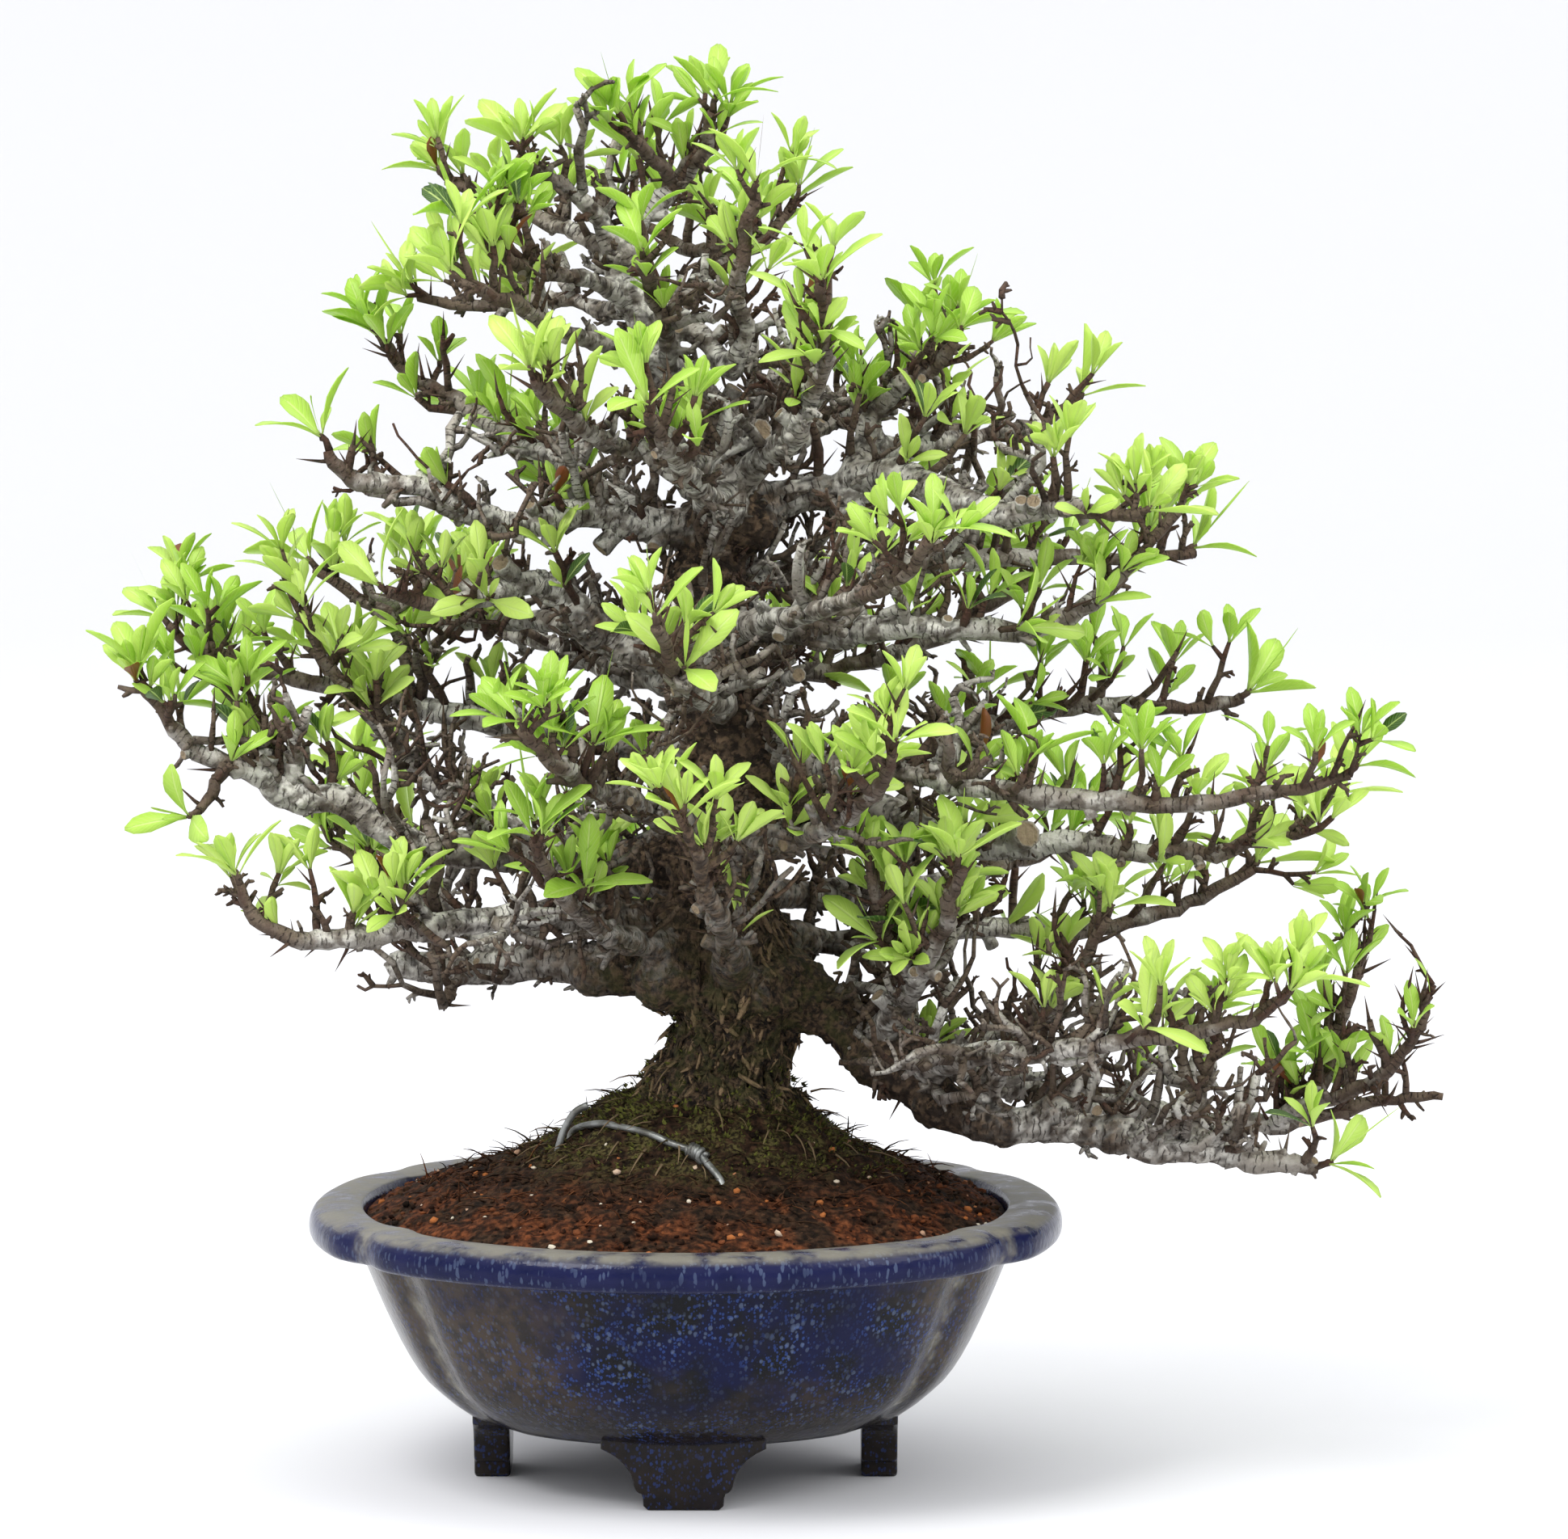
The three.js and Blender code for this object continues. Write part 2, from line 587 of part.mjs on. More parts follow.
  ["left_front", 4, [
    [10, 216, -8, 7.6], [-8, 223, -38, 5.2], [-20, 229, -64, 4.2], [-34, 233, -88, 3.4],
    [-46, 241, -108, 2.6], [-56, 252, -122, 1.9],
  ]],
  ["front_low", 4, [
    [14, 168, -14, 8.4], [16, 177, -46, 5.2], [12, 187, -72, 4.2], [8, 197, -96, 3.4],
    [4, 208, -116, 2.6], [0, 219, -130, 1.9],
  ]],
  ["front_right_low", 4, [
    [16, 210, -8, 6.8], [34, 214, -42, 5.2], [44, 217, -70, 4.2], [56, 223, -96, 3.3],
    [66, 233, -116, 2.6], [72, 245, -130, 1.9],
  ]],
  ["front_mid", 4, [
    [14, 262, -10, 6.8], [10, 263, -44, 5.2], [4, 265, -74, 4.2], [0, 269, -102, 3.3],
    [-6, 277, -124, 2.6], [-10, 288, -138, 1.9],
  ]],
  ["front_right_mid", 4, [
    [12, 286, -8, 6.8], [32, 290, -46, 4.7], [46, 293, -74, 3.9], [62, 299, -98, 3.1],
    [76, 307, -116, 2.5], [84, 317, -128, 1.8],
  ]],
  ["front_high", 3, [
    [14, 328, -6, 6.4], [6, 334, -38, 4.6], [0, 341, -62, 3.8], [-6, 350, -84, 3], [-12, 361, -100, 2],
  ]],
  ["back_low", 4, [
    [14, 172, 8, 10], [8, 174, 44, 6.8], [0, 176, 72, 5.7], [-10, 179, 100, 4.7], [-18, 184, 124, 3.8],
    [-24, 192, 146, 2.8], [-28, 203, 162, 1.9],
  ]],
  ["back_right_low", 4, [
    [16, 196, 6, 7.6], [50, 196, 46, 5.7], [72, 198, 76, 4.7], [96, 202, 102, 3.8], [118, 208, 124, 2.8],
    [134, 218, 138, 1.9],
  ]],
  ["back_left_low", 4, [
    [12, 198, 4, 7.6], [-26, 202, 42, 5.7], [-50, 206, 72, 4.7], [-74, 211, 98, 3.8],
    [-96, 219, 118, 2.8], [-112, 230, 130, 1.9],
  ]],
  ["back_mid", 4, [
    [15, 252, 8, 7.6], [18, 257, 44, 5.8], [24, 262, 76, 4.9], [30, 267, 104, 3.9], [34, 275, 128, 3],
    [38, 286, 144, 1.9],
  ]],
  ["back_left_mid", 4, [
    [12, 266, 4, 7.2], [-18, 271, 44, 5.2], [-38, 278, 72, 4.4], [-58, 285, 96, 3.6],
    [-76, 295, 114, 2.8], [-88, 308, 124, 1.9],
  ]],
  ["back_right_mid", 0, [
    [31, 270, 114, 3.3], [52, 273, 114, 3.3], [76, 280, 112, 3.1], [98, 291, 112, 2.8],
    [116, 302, 116, 2.4], [130, 315, 120, 1.8],
  ], "back_mid"],
  ["back_high", 3, [
    [14, 322, 8, 7.2], [14, 330, 46, 4.7], [10, 338, 74, 3.9], [6, 347, 96, 3.1], [2, 359, 112, 2],
  ]],
  ["back_left_high", 3, [
    [12, 312, 6, 6.8], [-14, 322, 42, 4.6], [-34, 332, 66, 3.8], [-54, 343, 84, 3], [-68, 357, 96, 2],
  ]],
  ["back_right_high", 3, [
    [15, 340, 6, 6.4], [36, 350, 38, 4.6], [54, 361, 58, 3.8], [74, 372, 72, 3], [90, 386, 82, 2],
  ]],
];
const THICK_LIMB = 6.5;

// The value of a range at a share of it.
const between = ([low, high], share) => low + (high - low) * share;

// A shoot off a stem: where it starts, which way it goes and how long it is.
function shoot(run, share, seed) {
  const draw = draws(seed);
  const spot = share * (run.length - 1);
  const low = Math.min(Math.floor(spot), run.length - 2);
  const at = run[low].at.clone().lerp(run[low + 1].at, spot - low);
  const turn = seed * GOLDEN_ANGLE + draw();
  const direction = run[low].along
    .clone()
    .multiplyScalar(SHOOT_LEAN.forward)
    .addScaledVector(run[low].across, SHOOT_LEAN.outward * Math.cos(turn))
    .addScaledVector(run[low].over, SHOOT_LEAN.outward * Math.sin(turn))
    .addScaledVector(UP, SHOOT_LEAN.upward)
    .normalize();
  return { at, direction, length: between(SHOOT_LENGTH, draw()), draw };
}

// A leafy shoot in one skin: a three-sided twig, a leaf out of each side of its end and one on top.
function leafyShoot({ at, direction, length, draw }) {
  const bend = direction.clone().addScaledVector(UP, SHOOT_LEAN.upward).normalize();
  const tip = at.clone().addScaledVector(bend, length);
  const below = tip.clone().addScaledVector(bend, -LEAF_BASE);
  const stem = rings([
    { at, radius: SHOOT_RADII[0] },
    { at: below, radius: SHOOT_RADII[1] },
    { at: tip, radius: SHOOT_RADII[2] },
  ]);
  const corner = (ring, side) => {
    const angle = (side * 2 * Math.PI) / 3;
    return ring.at
      .clone()
      .addScaledVector(ring.across, ring.radius * Math.cos(angle))
      .addScaledVector(ring.over, ring.radius * Math.sin(angle));
  };
  const points = stem.flatMap((ring) => [0, 1, 2].map((side) => corner(ring, side)));
  const faces = [[0, 2, 1]];
  for (const [side, next] of [[0, 1], [1, 2], [2, 0]]) {
    faces.push([side, next, next + 3], [side, next + 3, side + 3]);
    faces.push([side + 3, next + 3, next + 6]);
  }

  // A blade grown out of the face [left, keel, right], widest towards its tip and bent back.
  const leaf = (base, along, face) => {
    const across = along.clone().cross(face).normalize();
    const foot = base.reduce((sum, i) => sum.add(points[i]), new THREE.Vector3()).divideScalar(3);
    const long = between(LEAF_LENGTH, draw());
    const spot = (share, side, lift) =>
      foot
        .clone()
        .addScaledVector(along, long * share)
        .addScaledVector(face, lift - LEAF_BEND * long * share * share)
        .addScaledVector(across, side);
    let section = base;
    for (const [share, width] of LEAF_STATIONS) {
      const half = (long * LEAF_WIDTH * width) / 2;
      const start = points.length;
      points.push(spot(share, half, 0), spot(share, 0, -LEAF_THICKNESS), spot(share, -half, 0));
      for (const [i, j] of [[0, 1], [1, 2], [2, 0]]) {
        faces.push([section[i], section[j], start + j], [section[i], start + j, start + i]);
      }
      section = [start, start + 1, start + 2];
    }
    const end = points.push(spot(1, 0, 0)) - 1;
    for (const [i, j] of [[0, 1], [1, 2], [2, 0]]) faces.push([section[i], section[j], end]);
  };

  const top = stem[2];
  const up = top.along.clone().addScaledVector(UP, SHOOT_LEAN.upward).normalize();
  for (const [side, next] of [[0, 1], [1, 2], [2, 0]]) {
    const turn = ((side + 0.5) * 2 * Math.PI) / 3 + 0.5 * (draw() - 0.5);
    const outward = top.across
      .clone()
      .multiplyScalar(Math.cos(turn))
      .addScaledVector(top.over, Math.sin(turn));
    const lean = between(LEAF_LEAN, draw());
    const along = up
      .clone()
      .multiplyScalar(Math.cos(lean))
      .addScaledVector(outward, Math.sin(lean))
      .normalize();
    const face = up.clone().addScaledVector(along, -up.dot(along)).normalize();
    leaf([side + 6, side + 3, next + 6], along, face);
  }
  const inward = tip.clone().sub(points[7]);
  leaf([6, 7, 8], up, inward.addScaledVector(up, -inward.dot(up)).normalize());
  return solid(
    points.map((point) => point.toArray()),
    faces,
  );
}

// Whether a body runs into any of the others.
function crosses(body, others) {
  const room = body.boundingBox();
  return others.some((other) => {
    const far = other.boundingBox();
    const apart = [0, 1, 2].some((i) => room.min[i] > far.max[i] || room.max[i] < far.min[i]);
    return !apart && body.intersect(other).volume() > 0;
  });
}

const runs = new Map(LIMBS.map(([name, , route]) => [name, rings(route.map(place))]));
const trunkRings = rings(TRUNK.map(place));

// The old wood: the trunk and the inner part of each limb in one body.
function oldWood() {
  const limbs = LIMBS.filter(([, old]) => old).map(([name, old, route]) =>
    tube(runs.get(name).slice(0, old), route[0][3] > THICK_LIMB ? 5 : 4),
  );
  return join([tube(trunkRings, 8), ...limbs]).simplify(SLIVER);
}

// The outer part of a limb, which starts a gap beyond the old wood, or inside the stem that it forks from.
function youngWood([name, old]) {
  const run = runs.get(name).slice(Math.max(old - 1, 0));
  if (!old) return run;
  const start = run[0].at.clone().addScaledVector(run[0].along, GAP);
  return [{ ...run[0], at: start }, ...run.slice(1)];
}

// One leafy stem: its wood, a shoot at each tip, and shoots along it where there is room for them.
function leafyStem(members, others) {
  let body = join(members.map(({ run }) => tube(run, 4)));
  for (const { run, seed } of members) {
    const end = run.at(-1);
    const length = run.slice(1).reduce((sum, ring, i) => sum + ring.at.distanceTo(run[i].at), 0);
    const places = Math.round(length / SHOOT_SPACING);
    const wanted = Math.round(length / TUFT_SPACING);
    const tip = {
      at: run.at(-2).at.clone().lerp(end.at, 0.9),
      direction: end.along,
      length: TIP_SHOOT_LENGTH,
      draw: draws(seed),
    };
    const choices = end.radius < BARE_TIP ? [] : [[leafyShoot(tip)]];
    for (let k = 0; k < wanted; k++) {
      const first = Math.floor((k * places) / wanted);
      const last = Math.floor(((k + 1) * places) / wanted);
      const numbers = Array.from({ length: last - first }, (_, j) => first + j);
      choices.push(numbers.map((j) => leafyShoot(shoot(run, (j + 0.5) / places, seed + j))));
    }
    for (const shoots of choices) {
      const free = shoots.find((candidate) => !crosses(candidate, others));
      if (free) body = body.add(free);
    }
  }
  return body.simplify(SLIVER);
}

// The tie wires that hold the root ball down, as seen from the front: [x, z, lift off the soil].
const LONG_WIRE = [
  [-38, 110.5, -9],
  [-40, 111.5, -4],
  [-39, 113, 1.7],
  [-30, 114.5, 2.6],
  [-21.5, 114, 1.7],
  [-13, 111.5, 2.2],
  [-5, 108.5, 1.8],
  [1, 106.3, 2],
];
const KNOT = [
  [2.5, 105.5, 2.2],
  [5, 104, 2.4],
];
const WIRE_TAIL = [
  [8, 101, 1.7],
  [12, 97.5, 0],
  [14, 95, -5],
];
const UPRIGHT_WIRE = [
  [-46, 96.5],
  [-45, 103.5],
  [-44, 109.5],
  [-42, 115.5],
  [-38.5, 121],
  [-34, 123.5],
];

// The point of the mound that is seen from the front at [x, z], lifted off the soil.
function onMound([x, z, lift]) {
  let depth = -100;
  let { at } = place([x, z, depth, 0]);
  while (depth < 0 && moundHeight(at.x, at.y) < at.z) {
    depth += 0.5;
    ({ at } = place([x, z, depth, 0]));
  }
  at.z += lift;
  return at;
}

const wireStops = (spots, radius) => spots.map((spot) => ({ at: onMound(spot), radius }));
const longWire = rings([
  ...wireStops(LONG_WIRE, WIRE_RADIUS),
  ...wireStops(KNOT, KNOT_RADIUS),
  ...wireStops(WIRE_TAIL, WIRE_RADIUS),
]);
const uprightDepth = onMound([...UPRIGHT_WIRE[2], 0]).y - 3 * WIRE_RADIUS;
const uprightWire = rings(UPRIGHT_WIRE.map(([x, z]) => place([x, z, uprightDepth, WIRE_RADIUS])));
const wires = { tie_wire_long: longWire, tie_wire_upright: uprightWire };

const wood = oldWood();
const members = LIMBS.map((limb, i) => ({
  stem: limb[3] ?? limb[0],
  run: youngWood(limb),
  seed: 100 * (i + 1),
})).filter(({ run }) => run.length > 1);
const stems = new Map(members.map(({ stem }) => [stem, null]));
for (const stem of stems.keys()) {
  const own = members.filter((member) => member.stem === stem);
  const neighbours = members.filter((member) => member.stem !== stem).map(({ run }) => tube(run, 4));
  const grown = [...stems.values()].filter(Boolean);
  stems.set(stem, leafyStem(own, [wood, ...neighbours, ...grown]));
}

const tree = new THREE.Group();
tree.add(piece("trunk_and_limbs", wood, bark));
for (const [stem, body] of stems) tree.add(piece("leafy_" + stem, body, foliage));

const holes = [
  tube(trunkRings.slice(0, TRUNK_RINGS_IN_SOIL), 8, GAP),
  ...Object.values(wires).map((run) => tube(run, 6, GAP)),
];
const planter = new THREE.Group();
planter.add(
  pot(),
  screen("drain_screen_left", -DRAIN_DISTANCE),
  screen("drain_screen_right", DRAIN_DISTANCE),
  gritLayer(),
  soil(holes),
  ...Object.entries(wires).map(([name, run]) => piece(name, tube(run, 6), wire)),
);

const bonsai = new THREE.Group();
bonsai.add(planter, tree);
const reach = new THREE.Box3().setFromObject(bonsai);
const middle = reach.getCenter(new THREE.Vector3());
for (const half of [planter, tree]) half.position.set(-middle.x, -middle.y, 0);
export default bonsai;
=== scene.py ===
"""A firethorn bonsai in its four-lobed blue pot, with its bark, leaves, soil, moss and wires."""
import math
from collections import namedtuple

import bmesh
import bpy
from mathutils import Matrix, Vector, noise
from mathutils.kdtree import KDTree


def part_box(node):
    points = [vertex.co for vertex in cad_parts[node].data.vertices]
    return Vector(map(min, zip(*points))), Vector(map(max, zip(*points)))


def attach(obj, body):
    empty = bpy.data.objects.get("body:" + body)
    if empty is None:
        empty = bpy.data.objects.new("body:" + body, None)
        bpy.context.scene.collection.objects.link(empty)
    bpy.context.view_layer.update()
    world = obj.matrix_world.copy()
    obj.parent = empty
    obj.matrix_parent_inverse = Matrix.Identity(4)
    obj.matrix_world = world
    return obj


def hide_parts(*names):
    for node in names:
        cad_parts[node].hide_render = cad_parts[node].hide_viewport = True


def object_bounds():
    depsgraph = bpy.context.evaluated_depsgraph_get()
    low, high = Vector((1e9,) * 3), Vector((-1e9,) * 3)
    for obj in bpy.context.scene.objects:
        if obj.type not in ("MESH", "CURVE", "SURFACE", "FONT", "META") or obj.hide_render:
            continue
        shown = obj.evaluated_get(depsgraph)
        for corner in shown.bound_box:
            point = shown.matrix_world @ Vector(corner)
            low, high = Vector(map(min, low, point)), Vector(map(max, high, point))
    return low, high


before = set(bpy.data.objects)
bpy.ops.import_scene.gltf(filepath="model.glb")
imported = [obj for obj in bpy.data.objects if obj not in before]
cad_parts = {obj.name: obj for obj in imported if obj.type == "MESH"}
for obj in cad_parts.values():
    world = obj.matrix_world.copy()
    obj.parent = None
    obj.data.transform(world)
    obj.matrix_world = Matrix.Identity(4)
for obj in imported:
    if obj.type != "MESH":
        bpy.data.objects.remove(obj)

cad_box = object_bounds()

# Pot: stoneware under a mottled blue glaze, with a flat lip, four lobes and a notch between each two.
# It was thrown and pressed to its plan in one body, then the cloud-shaped feet were luted on and two
# drain holes cut. Every piece here is shaped in millimetres round the pot's middle and then placed.
RIM_HALF_WIDTH = 130.5
RIM_HALF_DEPTH = 131
FRONT_LOBE_RADIUS = 140
SIDE_LOBE_RADIUS = 161
NOTCH_ANGLE = math.radians(33.8)
NOTCH_SPREAD = math.radians(4.5)
NOTCH_DEPTH = 5
POT_COLUMNS = 160
POT_OUTSIDE = ((0, 21.5), (0.3, 21.5), (0.54, 21.5), (0.67, 32), (0.738, 43), (0.804, 60.5), (0.857, 77))
POT_LIP = ((0.878, 82.2), (0.93, 82.6), (0.985, 83.6), (1, 87.5), (0.99, 92.6), (0.955, 95), (0.875, 94.8))
POT_INSIDE = ((0.852, 92.5), (0.812, 77), (0.755, 60.5), (0.69, 43), (0.6, 31), (0.5, 27), (0, 27))
FOOT_DISTANCE = 67
FOOT_THICKNESS = 12.5
FOOT_TOP = 26
FOOT_ROUNDING = 1.3
BEND_STEPS = 5
DRAIN_RADIUS = 11
DRAIN_DISTANCE = 38

pot_low, pot_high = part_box("pot")
pot_middle = (pot_low + pot_high) / 2
placed = Matrix.Translation((pot_middle.x, pot_middle.y, 0)) @ Matrix.Scale(0.001, 4)


def lobe_reach(angle, centre_x, centre_y, radius):
    """How far a round lobe reaches from the pot's middle in one direction."""
    along = centre_x * math.cos(angle) + centre_y * math.sin(angle)
    return along + math.sqrt(radius**2 - centre_x**2 - centre_y**2 + along**2)


def notch_share(angle):
    """1 in the middle of a notch, falling to 0 beside it."""
    from_side = math.atan2(abs(math.sin(angle)), abs(math.cos(angle)))
    return math.exp(-(((from_side - NOTCH_ANGLE) / NOTCH_SPREAD) ** 2))


def plan_radius(angle):
    """The rim's distance from the pot's middle: four lobes, less the notch where two meet."""
    side_shift = SIDE_LOBE_RADIUS - RIM_HALF_WIDTH
    front_shift = FRONT_LOBE_RADIUS - RIM_HALF_DEPTH
    reach = min(
        lobe_reach(angle, side_shift, 0, SIDE_LOBE_RADIUS),
        lobe_reach(angle, -side_shift, 0, SIDE_LOBE_RADIUS),
        lobe_reach(angle, 0, front_shift, FRONT_LOBE_RADIUS),
        lobe_reach(angle, 0, -front_shift, FRONT_LOBE_RADIUS),
    )
    return reach - NOTCH_DEPTH * notch_share(angle)


def curved(points, steps):
    """Points of a smooth curve through all the given ones, steps to a stretch."""
    padded = [points[0], *points, points[-1]]
    made = []
    for before, start, end, after in zip(padded, padded[1:], padded[2:], padded[3:]):
        slope = end - before
        turn = 2 * before - 5 * start + 4 * end - after
        sway = 3 * start - before - 3 * end + after
        for step in range(steps):
            t = step / steps
            made.append(0.5 * (2 * start + slope * t + turn * t * t + sway * t**3))
    return [*made, points[-1].copy()]


def turned(rows, columns):
    """A profile of (distance from the axis, height) turned all the way round."""
    bm = bmesh.new()
    line = [bm.verts.new((reach, 0, height)) for reach, height in rows]
    edges = [bm.edges.new(pair) for pair in zip(line, line[1:])]
    bmesh.ops.spin(
        bm, geom=line + edges, cent=(0, 0, 0), axis=(0, 0, 1), dvec=(0, 0, 0),
        angle=math.tau, steps=columns, use_merge=True,
    )
    bmesh.ops.remove_doubles(bm, verts=bm.verts, dist=1e-5)
    return bm


def turned_on_plan(rows, columns):
    """A closed body with the pot's plan, turned from rows of (share of the plan, height)."""
    bm = turned(rows, columns)
    for vert in bm.verts:
        vert.co.xy *= plan_radius(math.atan2(vert.co.y, vert.co.x))
    bmesh.ops.recalc_face_normals(bm, faces=bm.faces)
    return bm


def loose(name, bm):
    """An object of a shape, in millimetres, for a modifier to work on."""
    mesh = bpy.data.meshes.new(name)
    bm.to_mesh(mesh)
    bm.free()
    made = bpy.data.objects.new(name, mesh)
    bpy.context.scene.collection.objects.link(made)
    return made


def modified(thing, kind, **settings):
    """The shape of a loose object after one modifier, and without the object."""
    modifier = thing.modifiers.new(kind, kind)
    for name, value in settings.items():
        setattr(modifier, name, value)
    bm = bmesh.new()
    bm.from_object(thing, bpy.context.evaluated_depsgraph_get())
    bpy.data.objects.remove(thing)
    return bm


def finished(name, bm, materials, nodes=()):
    """Places a piece in the frame, gives it its materials, hides the CAD parts it stands for, and returns
    it.
    """
    bmesh.ops.transform(bm, matrix=placed, verts=bm.verts)
    for face in bm.faces:
        face.smooth = True
    piece = loose(name, bm)
    for material in materials:
        piece.data.materials.append(material)
    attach(piece, "root")
    if nodes:
        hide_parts(*nodes)
    return piece


def quarter_bend(start, pull, end):
    """Points of a bend that leaves start towards pull and ends at end, without its last."""
    shares = [step / BEND_STEPS for step in range(BEND_STEPS)]
    return [start.lerp(pull, t).lerp(pull.lerp(end, t), t) for t in shares]


def foot():
    """Half a foot's outline with its stepped, cloud-like curve, mirrored, drawn out and rounded."""
    outline = [Vector((0, 0)), Vector((12, 0)), Vector((13.6, 1.4)), Vector((13.8, 4.2))]
    outline += quarter_bend(Vector((14.2, 5.5)), Vector((16.6, 6)), Vector((17, 9.5)))
    outline += quarter_bend(Vector((17, 9.5)), Vector((18.5, 17)), Vector((28, 21)))
    outline += [Vector((28, 21)), Vector((28, FOOT_TOP)), Vector((0, FOOT_TOP))]
    bm = bmesh.new()
    bm.faces.new([bm.verts.new((x, 0, z)) for x, z in outline])
    bmesh.ops.mirror(bm, geom=bm.faces[:] + bm.edges[:] + bm.verts[:], axis="X", merge_dist=0.01)
    bmesh.ops.dissolve_faces(bm, faces=bm.faces)
    made = bmesh.ops.extrude_face_region(bm, geom=bm.faces)["geom"]
    front = [part for part in made if isinstance(part, bmesh.types.BMVert)]
    bmesh.ops.translate(bm, vec=(0, -FOOT_THICKNESS, 0), verts=front)
    bmesh.ops.recalc_face_normals(bm, faces=bm.faces)
    rims = [edge for edge in bm.edges if abs(edge.verts[0].co.y - edge.verts[1].co.y) < 0.01]
    bmesh.ops.bevel(
        bm, geom=rims, offset=FOOT_ROUNDING, offset_type="OFFSET", segments=3, profile=0.5,
        affect="EDGES", material=-1, clamp_overlap=True,
    )
    bmesh.ops.translate(bm, vec=(0, FOOT_THICKNESS / 2 - FOOT_DISTANCE, 0), verts=bm.verts)
    return bm


feet = foot()
bmesh.ops.spin(
    feet, geom=feet.faces[:] + feet.edges[:] + feet.verts[:], cent=(0, 0, 0), axis=(0, 0, 1),
    dvec=(0, 0, 0), angle=math.tau * 3 / 4, steps=3, use_duplicate=True,
)
drains = bmesh.new()
for side in (-1, 1):
    bmesh.ops.create_cone(
        drains, cap_ends=True, segments=32, radius1=DRAIN_RADIUS, radius2=DRAIN_RADIUS, depth=24,
        matrix=Matrix.Translation((side * DRAIN_DISTANCE, 0, 22)),
    )
profile = [Vector(row) for row in POT_OUTSIDE + POT_LIP + POT_INSIDE]
bowl = turned_on_plan(curved(profile, 3), POT_COLUMNS)
for other, operation in ((feet, "UNION"), (drains, "DIFFERENCE")):
    other = loose("other", other)
    bowl = modified(loose("bowl", bowl), "BOOLEAN", operation=operation, object=other, solver="EXACT")
    bpy.data.objects.remove(other)
groove = bowl.verts.layers.float.new("groove")
for vert in bowl.verts:
    vert[groove] = notch_share(math.atan2(vert.co.y, vert.co.x))


def rgb(red, green, blue):
    """A colour as a screen shows it, 0 to 255 each, in the linear values that a shader takes."""
    return (*(((value / 255 + 0.055) / 1.055) ** 2.4 for value in (red, green, blue)), 1)


def put(value, socket):
    """Gives a node's socket a number or colour, or links it to another node's output."""
    if isinstance(value, bpy.types.NodeSocket):
        socket.id_data.links.new(value, socket)
    else:
        socket.default_value = value


def node_by(kind, *values):
    """A new node, in the tree of the first value that comes from another node."""
    tree = next(value.id_data for value in values if isinstance(value, bpy.types.NodeSocket))
    return tree.nodes.new("ShaderNode" + kind)


def finish(name, roughness, metallic=0.0, specular=0.5):
    """A new material with its Principled shader, and its tree for the nodes of its pattern."""
    material = bpy.data.materials.new(name)
    material.use_nodes = True
    shader = material.node_tree.nodes["Principled BSDF"]
    put(roughness, shader.inputs["Roughness"])
    put(metallic, shader.inputs["Metallic"])
    put(specular, shader.inputs["Specular IOR Level"])
    return material, material.node_tree, shader


def in_millimetres(tree, stretch=(1, 1, 1)):
    """Object coordinates in millimetres, so that a pattern's size is the real one."""
    where = tree.nodes.new("ShaderNodeTexCoord")
    scale = tree.nodes.new("ShaderNodeVectorMath")
    scale.operation = "MULTIPLY"
    put(where.outputs["Object"], scale.inputs[0])
    put([1000 * share for share in stretch], scale.inputs[1])
    return scale.outputs["Vector"]


def mark(tree, name):
    """A number that the mesh keeps at each vertex."""
    made = tree.nodes.new("ShaderNodeAttribute")
    made.attribute_name = name
    return made.outputs["Fac"]


def axes(where):
    """The x, y and z of a vector."""
    made = node_by("SeparateXYZ", where)
    put(where, made.inputs["Vector"])
    return made.outputs


def facing_up(tree):
    """How far the surface faces up, from -1 to 1."""
    return axes(tree.nodes.new("ShaderNodeNewGeometry").outputs["Normal"])["Z"]


def grain(where, size, detail=2):
    """Soft noise with lumps of about the given size, between 0 and 1."""
    made = node_by("TexNoise", where)
    put(where, made.inputs["Vector"])
    put(1 / size, made.inputs["Scale"])
    put(detail, made.inputs["Detail"])
    return made.outputs["Fac"]


def maths(operation, first, second=0, third=0):
    """One sum, kept between 0 and 1 where the operation ends in _CLAMPED."""
    made = node_by("Math", first, second, third)
    made.operation = operation.replace("_CLAMPED", "")
    made.use_clamp = operation.endswith("_CLAMPED")
    for value, socket in zip((first, second, third), made.inputs):
        put(value, socket)
    return made.outputs["Value"]


def times(first, second):
    """Two values multiplied."""
    return maths("MULTIPLY", first, second)


def scaled(value, factor, start):
    """A value multiplied, and then added to a start."""
    return maths("MULTIPLY_ADD", value, factor, start)


def between(value, low, high):
    """0 where value is at low, 1 where it is at high, and smooth from one to the other."""
    made = node_by("MapRange", value)
    made.interpolation_type = "SMOOTHSTEP"
    put(value, made.inputs["Value"])
    put(low, made.inputs["From Min"])
    put(high, made.inputs["From Max"])
    return made.outputs["Result"]


def patches(where, size, detail, low, high):
    """Patches of about a size: 0 where the grain is at low, 1 where it is at high."""
    return between(grain(where, size, detail), low, high)


def blended(share, low, high):
    """The colour low where share is 0 and high where it is 1."""
    made = node_by("Mix", share, low, high)
    made.data_type = "RGBA"
    put(share, made.inputs["Factor"])
    colours = [socket for socket in made.inputs if socket.type == "RGBA"]
    put(low, colours[0])
    put(high, colours[1])
    return next(socket for socket in made.outputs if socket.type == "RGBA")


def covered(below, share, most, colour):
    """A colour with another one over it: none of it where share is 0, and as much as most at 1."""
    return blended(times(share, most), below, colour)


